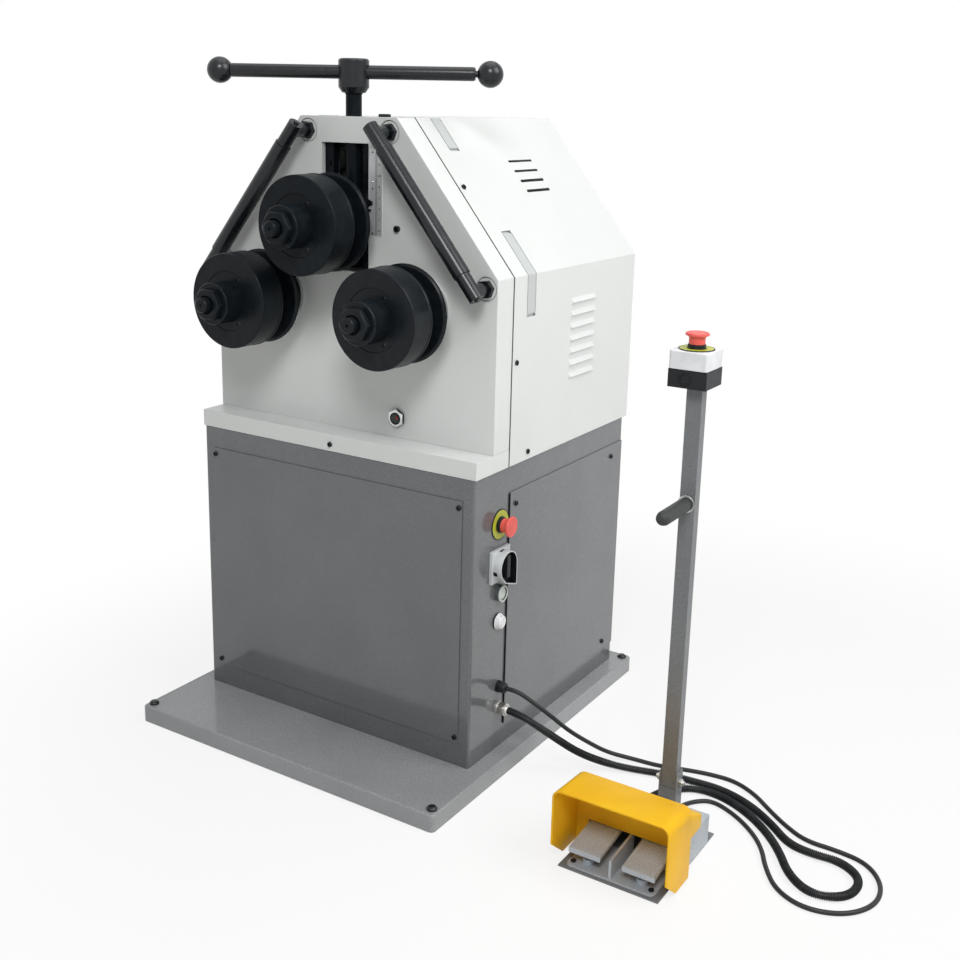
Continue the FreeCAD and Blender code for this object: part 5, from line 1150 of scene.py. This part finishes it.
guardValues = {
    "half": 0.107, "front": -0.131, "step": -0.035, "top": 0.137, "frontRise": 0.007,
    "low": 0.003, "corner": 0.016, "stepCorner": 0.004, "wall": 0.003, "toeBack": 0.043,
    "toeUp": 0.036,
    "wallLow": 0.048,  # foot of the inner wall behind the pedals
    "wallGap": 0.0815,  # half width of the opening that the pedals pass through
    "rearHalf": 0.097, "rear": 0.035, "rearTop": 0.12, "rearEnd": 0.087, "rearLow": 0.059,
    "rearCorner": 0.006, "rim": 0.0013,
}


def openBox(name, low, high):  # a block without its front and its foot
    made = cube(name, low, high)
    deleteFaces(made, lambda centre, normal: normal.y < -0.9 or normal.z < -0.9)
    closeMesh()
    return made


def cutAcross(place, way, **more):
    bpy.ops.mesh.select_all(action="SELECT")
    bpy.ops.mesh.bisect(plane_co=place, plane_no=way, **more)


def makeGuard(values):
    half, front, step = values["half"], values["front"], values["step"]
    top, low, gap = values["top"], values["low"], values["wallGap"]
    near = 0.001
    visor = openBox("pedalGuard", (-half, front, low), (half, step, top))
    chooseEdges(visor, lambda a, b: min(a.z, b.z) > top - near and max(a.y, b.y) < front + near)
    bpy.ops.transform.translate(value=(0, 0, values["frontRise"]))
    chooseEdges(visor, lambda a, b: min(a.z, b.z) > top - near and abs(a.y - b.y) > 10 * near)
    bpy.ops.mesh.bevel(offset=values["corner"], segments=7)
    chooseEdges(visor, lambda a, b: min(a.y, b.y) > step - near / 2 and min(a.z, b.z) > low + near)
    bpy.ops.mesh.bevel(offset=values["stepCorner"], segments=3)
    run, rise = values["toeBack"], values["toeUp"]  # the cut-away corners over the toes
    cutAcross((0, front + run, low), (0, -rise, -run), clear_outer=True)
    cutAcross((0, 0, values["wallLow"]), (0, 0, 1))
    cutAcross((-gap, 0, 0), (1, 0, 0))
    cutAcross((gap, 0, 0), (1, 0, 0))
    deleteFaces(visor, lambda centre, normal: (
        abs(normal.y) > 0.9 and centre.z < values["wallLow"] and abs(centre.x) < gap))
    closeMesh()
    rear, rearHalf, rearLow = values["rear"], values["rearHalf"], values["rearLow"]
    hood = openBox("guardHood", (-rearHalf, step - 0.002, rearLow),
                   (rearHalf, rear, values["rearTop"]))
    chooseEdges(hood, lambda a, b: min(a.y, b.y) > rear - near and min(a.z, b.z) > 0.1)
    bpy.ops.transform.translate(value=(0, 0, values["rearEnd"] - values["rearTop"]))
    chooseEdges(hood, lambda a, b: min(a.z, b.z) > rearLow + 10 * near)
    bpy.ops.mesh.bevel(offset=values["rearCorner"], segments=4)
    closeMesh()
    for shell in (visor, hood):
        only(shell)
        openMesh()
        closeOutward()
        thick = shell.modifiers.new("wall", "SOLIDIFY")
        thick.thickness = values["wall"]
        thick.offset = -1
        thick.use_even_offset = True
        bevel(shell, values["rim"], 3, 50)
    guard = fixPlace(joined("pedalGuard", [visor, hood]), "Z", standPlace)
    give(guard, "guard_yellow", part="pedal_guard")


makeSight(sightValues)
makeGuard(guardValues)
makeRuleDetails(ruleValues)
makePointer(pointerValues)
washer = turnedPiece("gripWasher", "-Y", gripValues["at"], gripValues["washer"], hollow=True)
give(washer, "plate_zinc")
makeSeams(seamValues)
makeWindowBacks(windowValues)
makeTread(pedalValues, "left")
makeTread(pedalValues, "right")
makePads(padValues)
print("scene: seams, treads and pads made")


studio = {
    "floorSize": 14,
    "floorPlace": (0.3, 0, -0.0006),
    "fade": (0.8, 1.8),  # metres from the middle, where the floor turns to background
    "nearShare": 0.78,
    "ambient": 0.19,
    "target": (0.15, -0.1, 0.6),
    "lamps": {  # place, size and power
        "keyLamp": ((3.2, 0.2, 3.1), 2.2, 81),
        "fillLamp": ((1.6, -2.5, 3.0), 1.0, 56),
        "topLamp": ((0.3, 0.2, 4.4), 3.0, 38),
    },
}


def seenShare(wire):  # 1 where the eye looks, straight or by a mirror, and 0 for the light
    seen, mirrored, through = [wire.node("ShaderNodeLightPath", output=f"Is {kind} Ray")
                               for kind in ("Camera", "Glossy", "Transmission")]
    return wire.maths("MINIMUM", seen + mirrored + through, 1.0)


def makeStage(values):
    bpy.ops.mesh.primitive_plane_add(size=values["floorSize"], location=values["floorPlace"])
    floor = named("paleFloor")
    wire, where = newLook("paleFloor", (values["floorPlace"][0], 0, 0))
    distance = wire.node("ShaderNodeVectorMath", {"operation": "LENGTH"}, {"Vector": where},
                         "Value")
    start, end = values["fade"]
    fade = wire.node("ShaderNodeMapRange", {"interpolation_type": "SMOOTHSTEP"},
                     {"Value": distance, "From Min": start, "From Max": end,
                      "To Min": values["nearShare"], "To Max": 1.0})
    look = connect(wire, (0.88, 0.88, 0.87, 1), 0.75, Specular_IOR_Level=0.1)
    floor.data.materials.append(look)
    glow = wire.node("ShaderNodeEmission", None, {"Color": (1, 1, 1, 1), "Strength": 1.0})
    mixed = wire.node("ShaderNodeMixShader", None, {"Fac": fade * seenShare(wire)}).socket
    join, nodes = wire.tree.links.new, wire.tree.nodes
    join(nodes["Principled BSDF"].outputs[0], mixed.node.inputs[1])
    join(glow.socket, mixed.node.inputs[2])
    join(mixed, nodes["Material Output"].inputs["Surface"])

    world = bpy.data.worlds.new("paleRoom")
    world.use_nodes = True
    bpy.context.scene.world = world
    strength = values["ambient"] + seenShare(Wire(world.node_tree)) * (1 - values["ambient"])
    background = world.node_tree.nodes["Background"]
    background.inputs["Color"].default_value = (1, 1, 1, 1)
    world.node_tree.links.new(strength.socket, background.inputs["Strength"])
    for name, (place, size, power) in values["lamps"].items():
        bpy.ops.object.light_add(type="AREA", location=place)
        lamp = named(name)
        lamp.data.size = size
        lamp.data.energy = power
        way = Vector(values["target"]) - Vector(place)
        lamp.rotation_euler = way.to_track_quat("-Z", "Y").to_euler()


makeStage(studio)
bpy.context.scene.view_settings.view_transform = "Standard"
print("scene: floor and lamps in place")
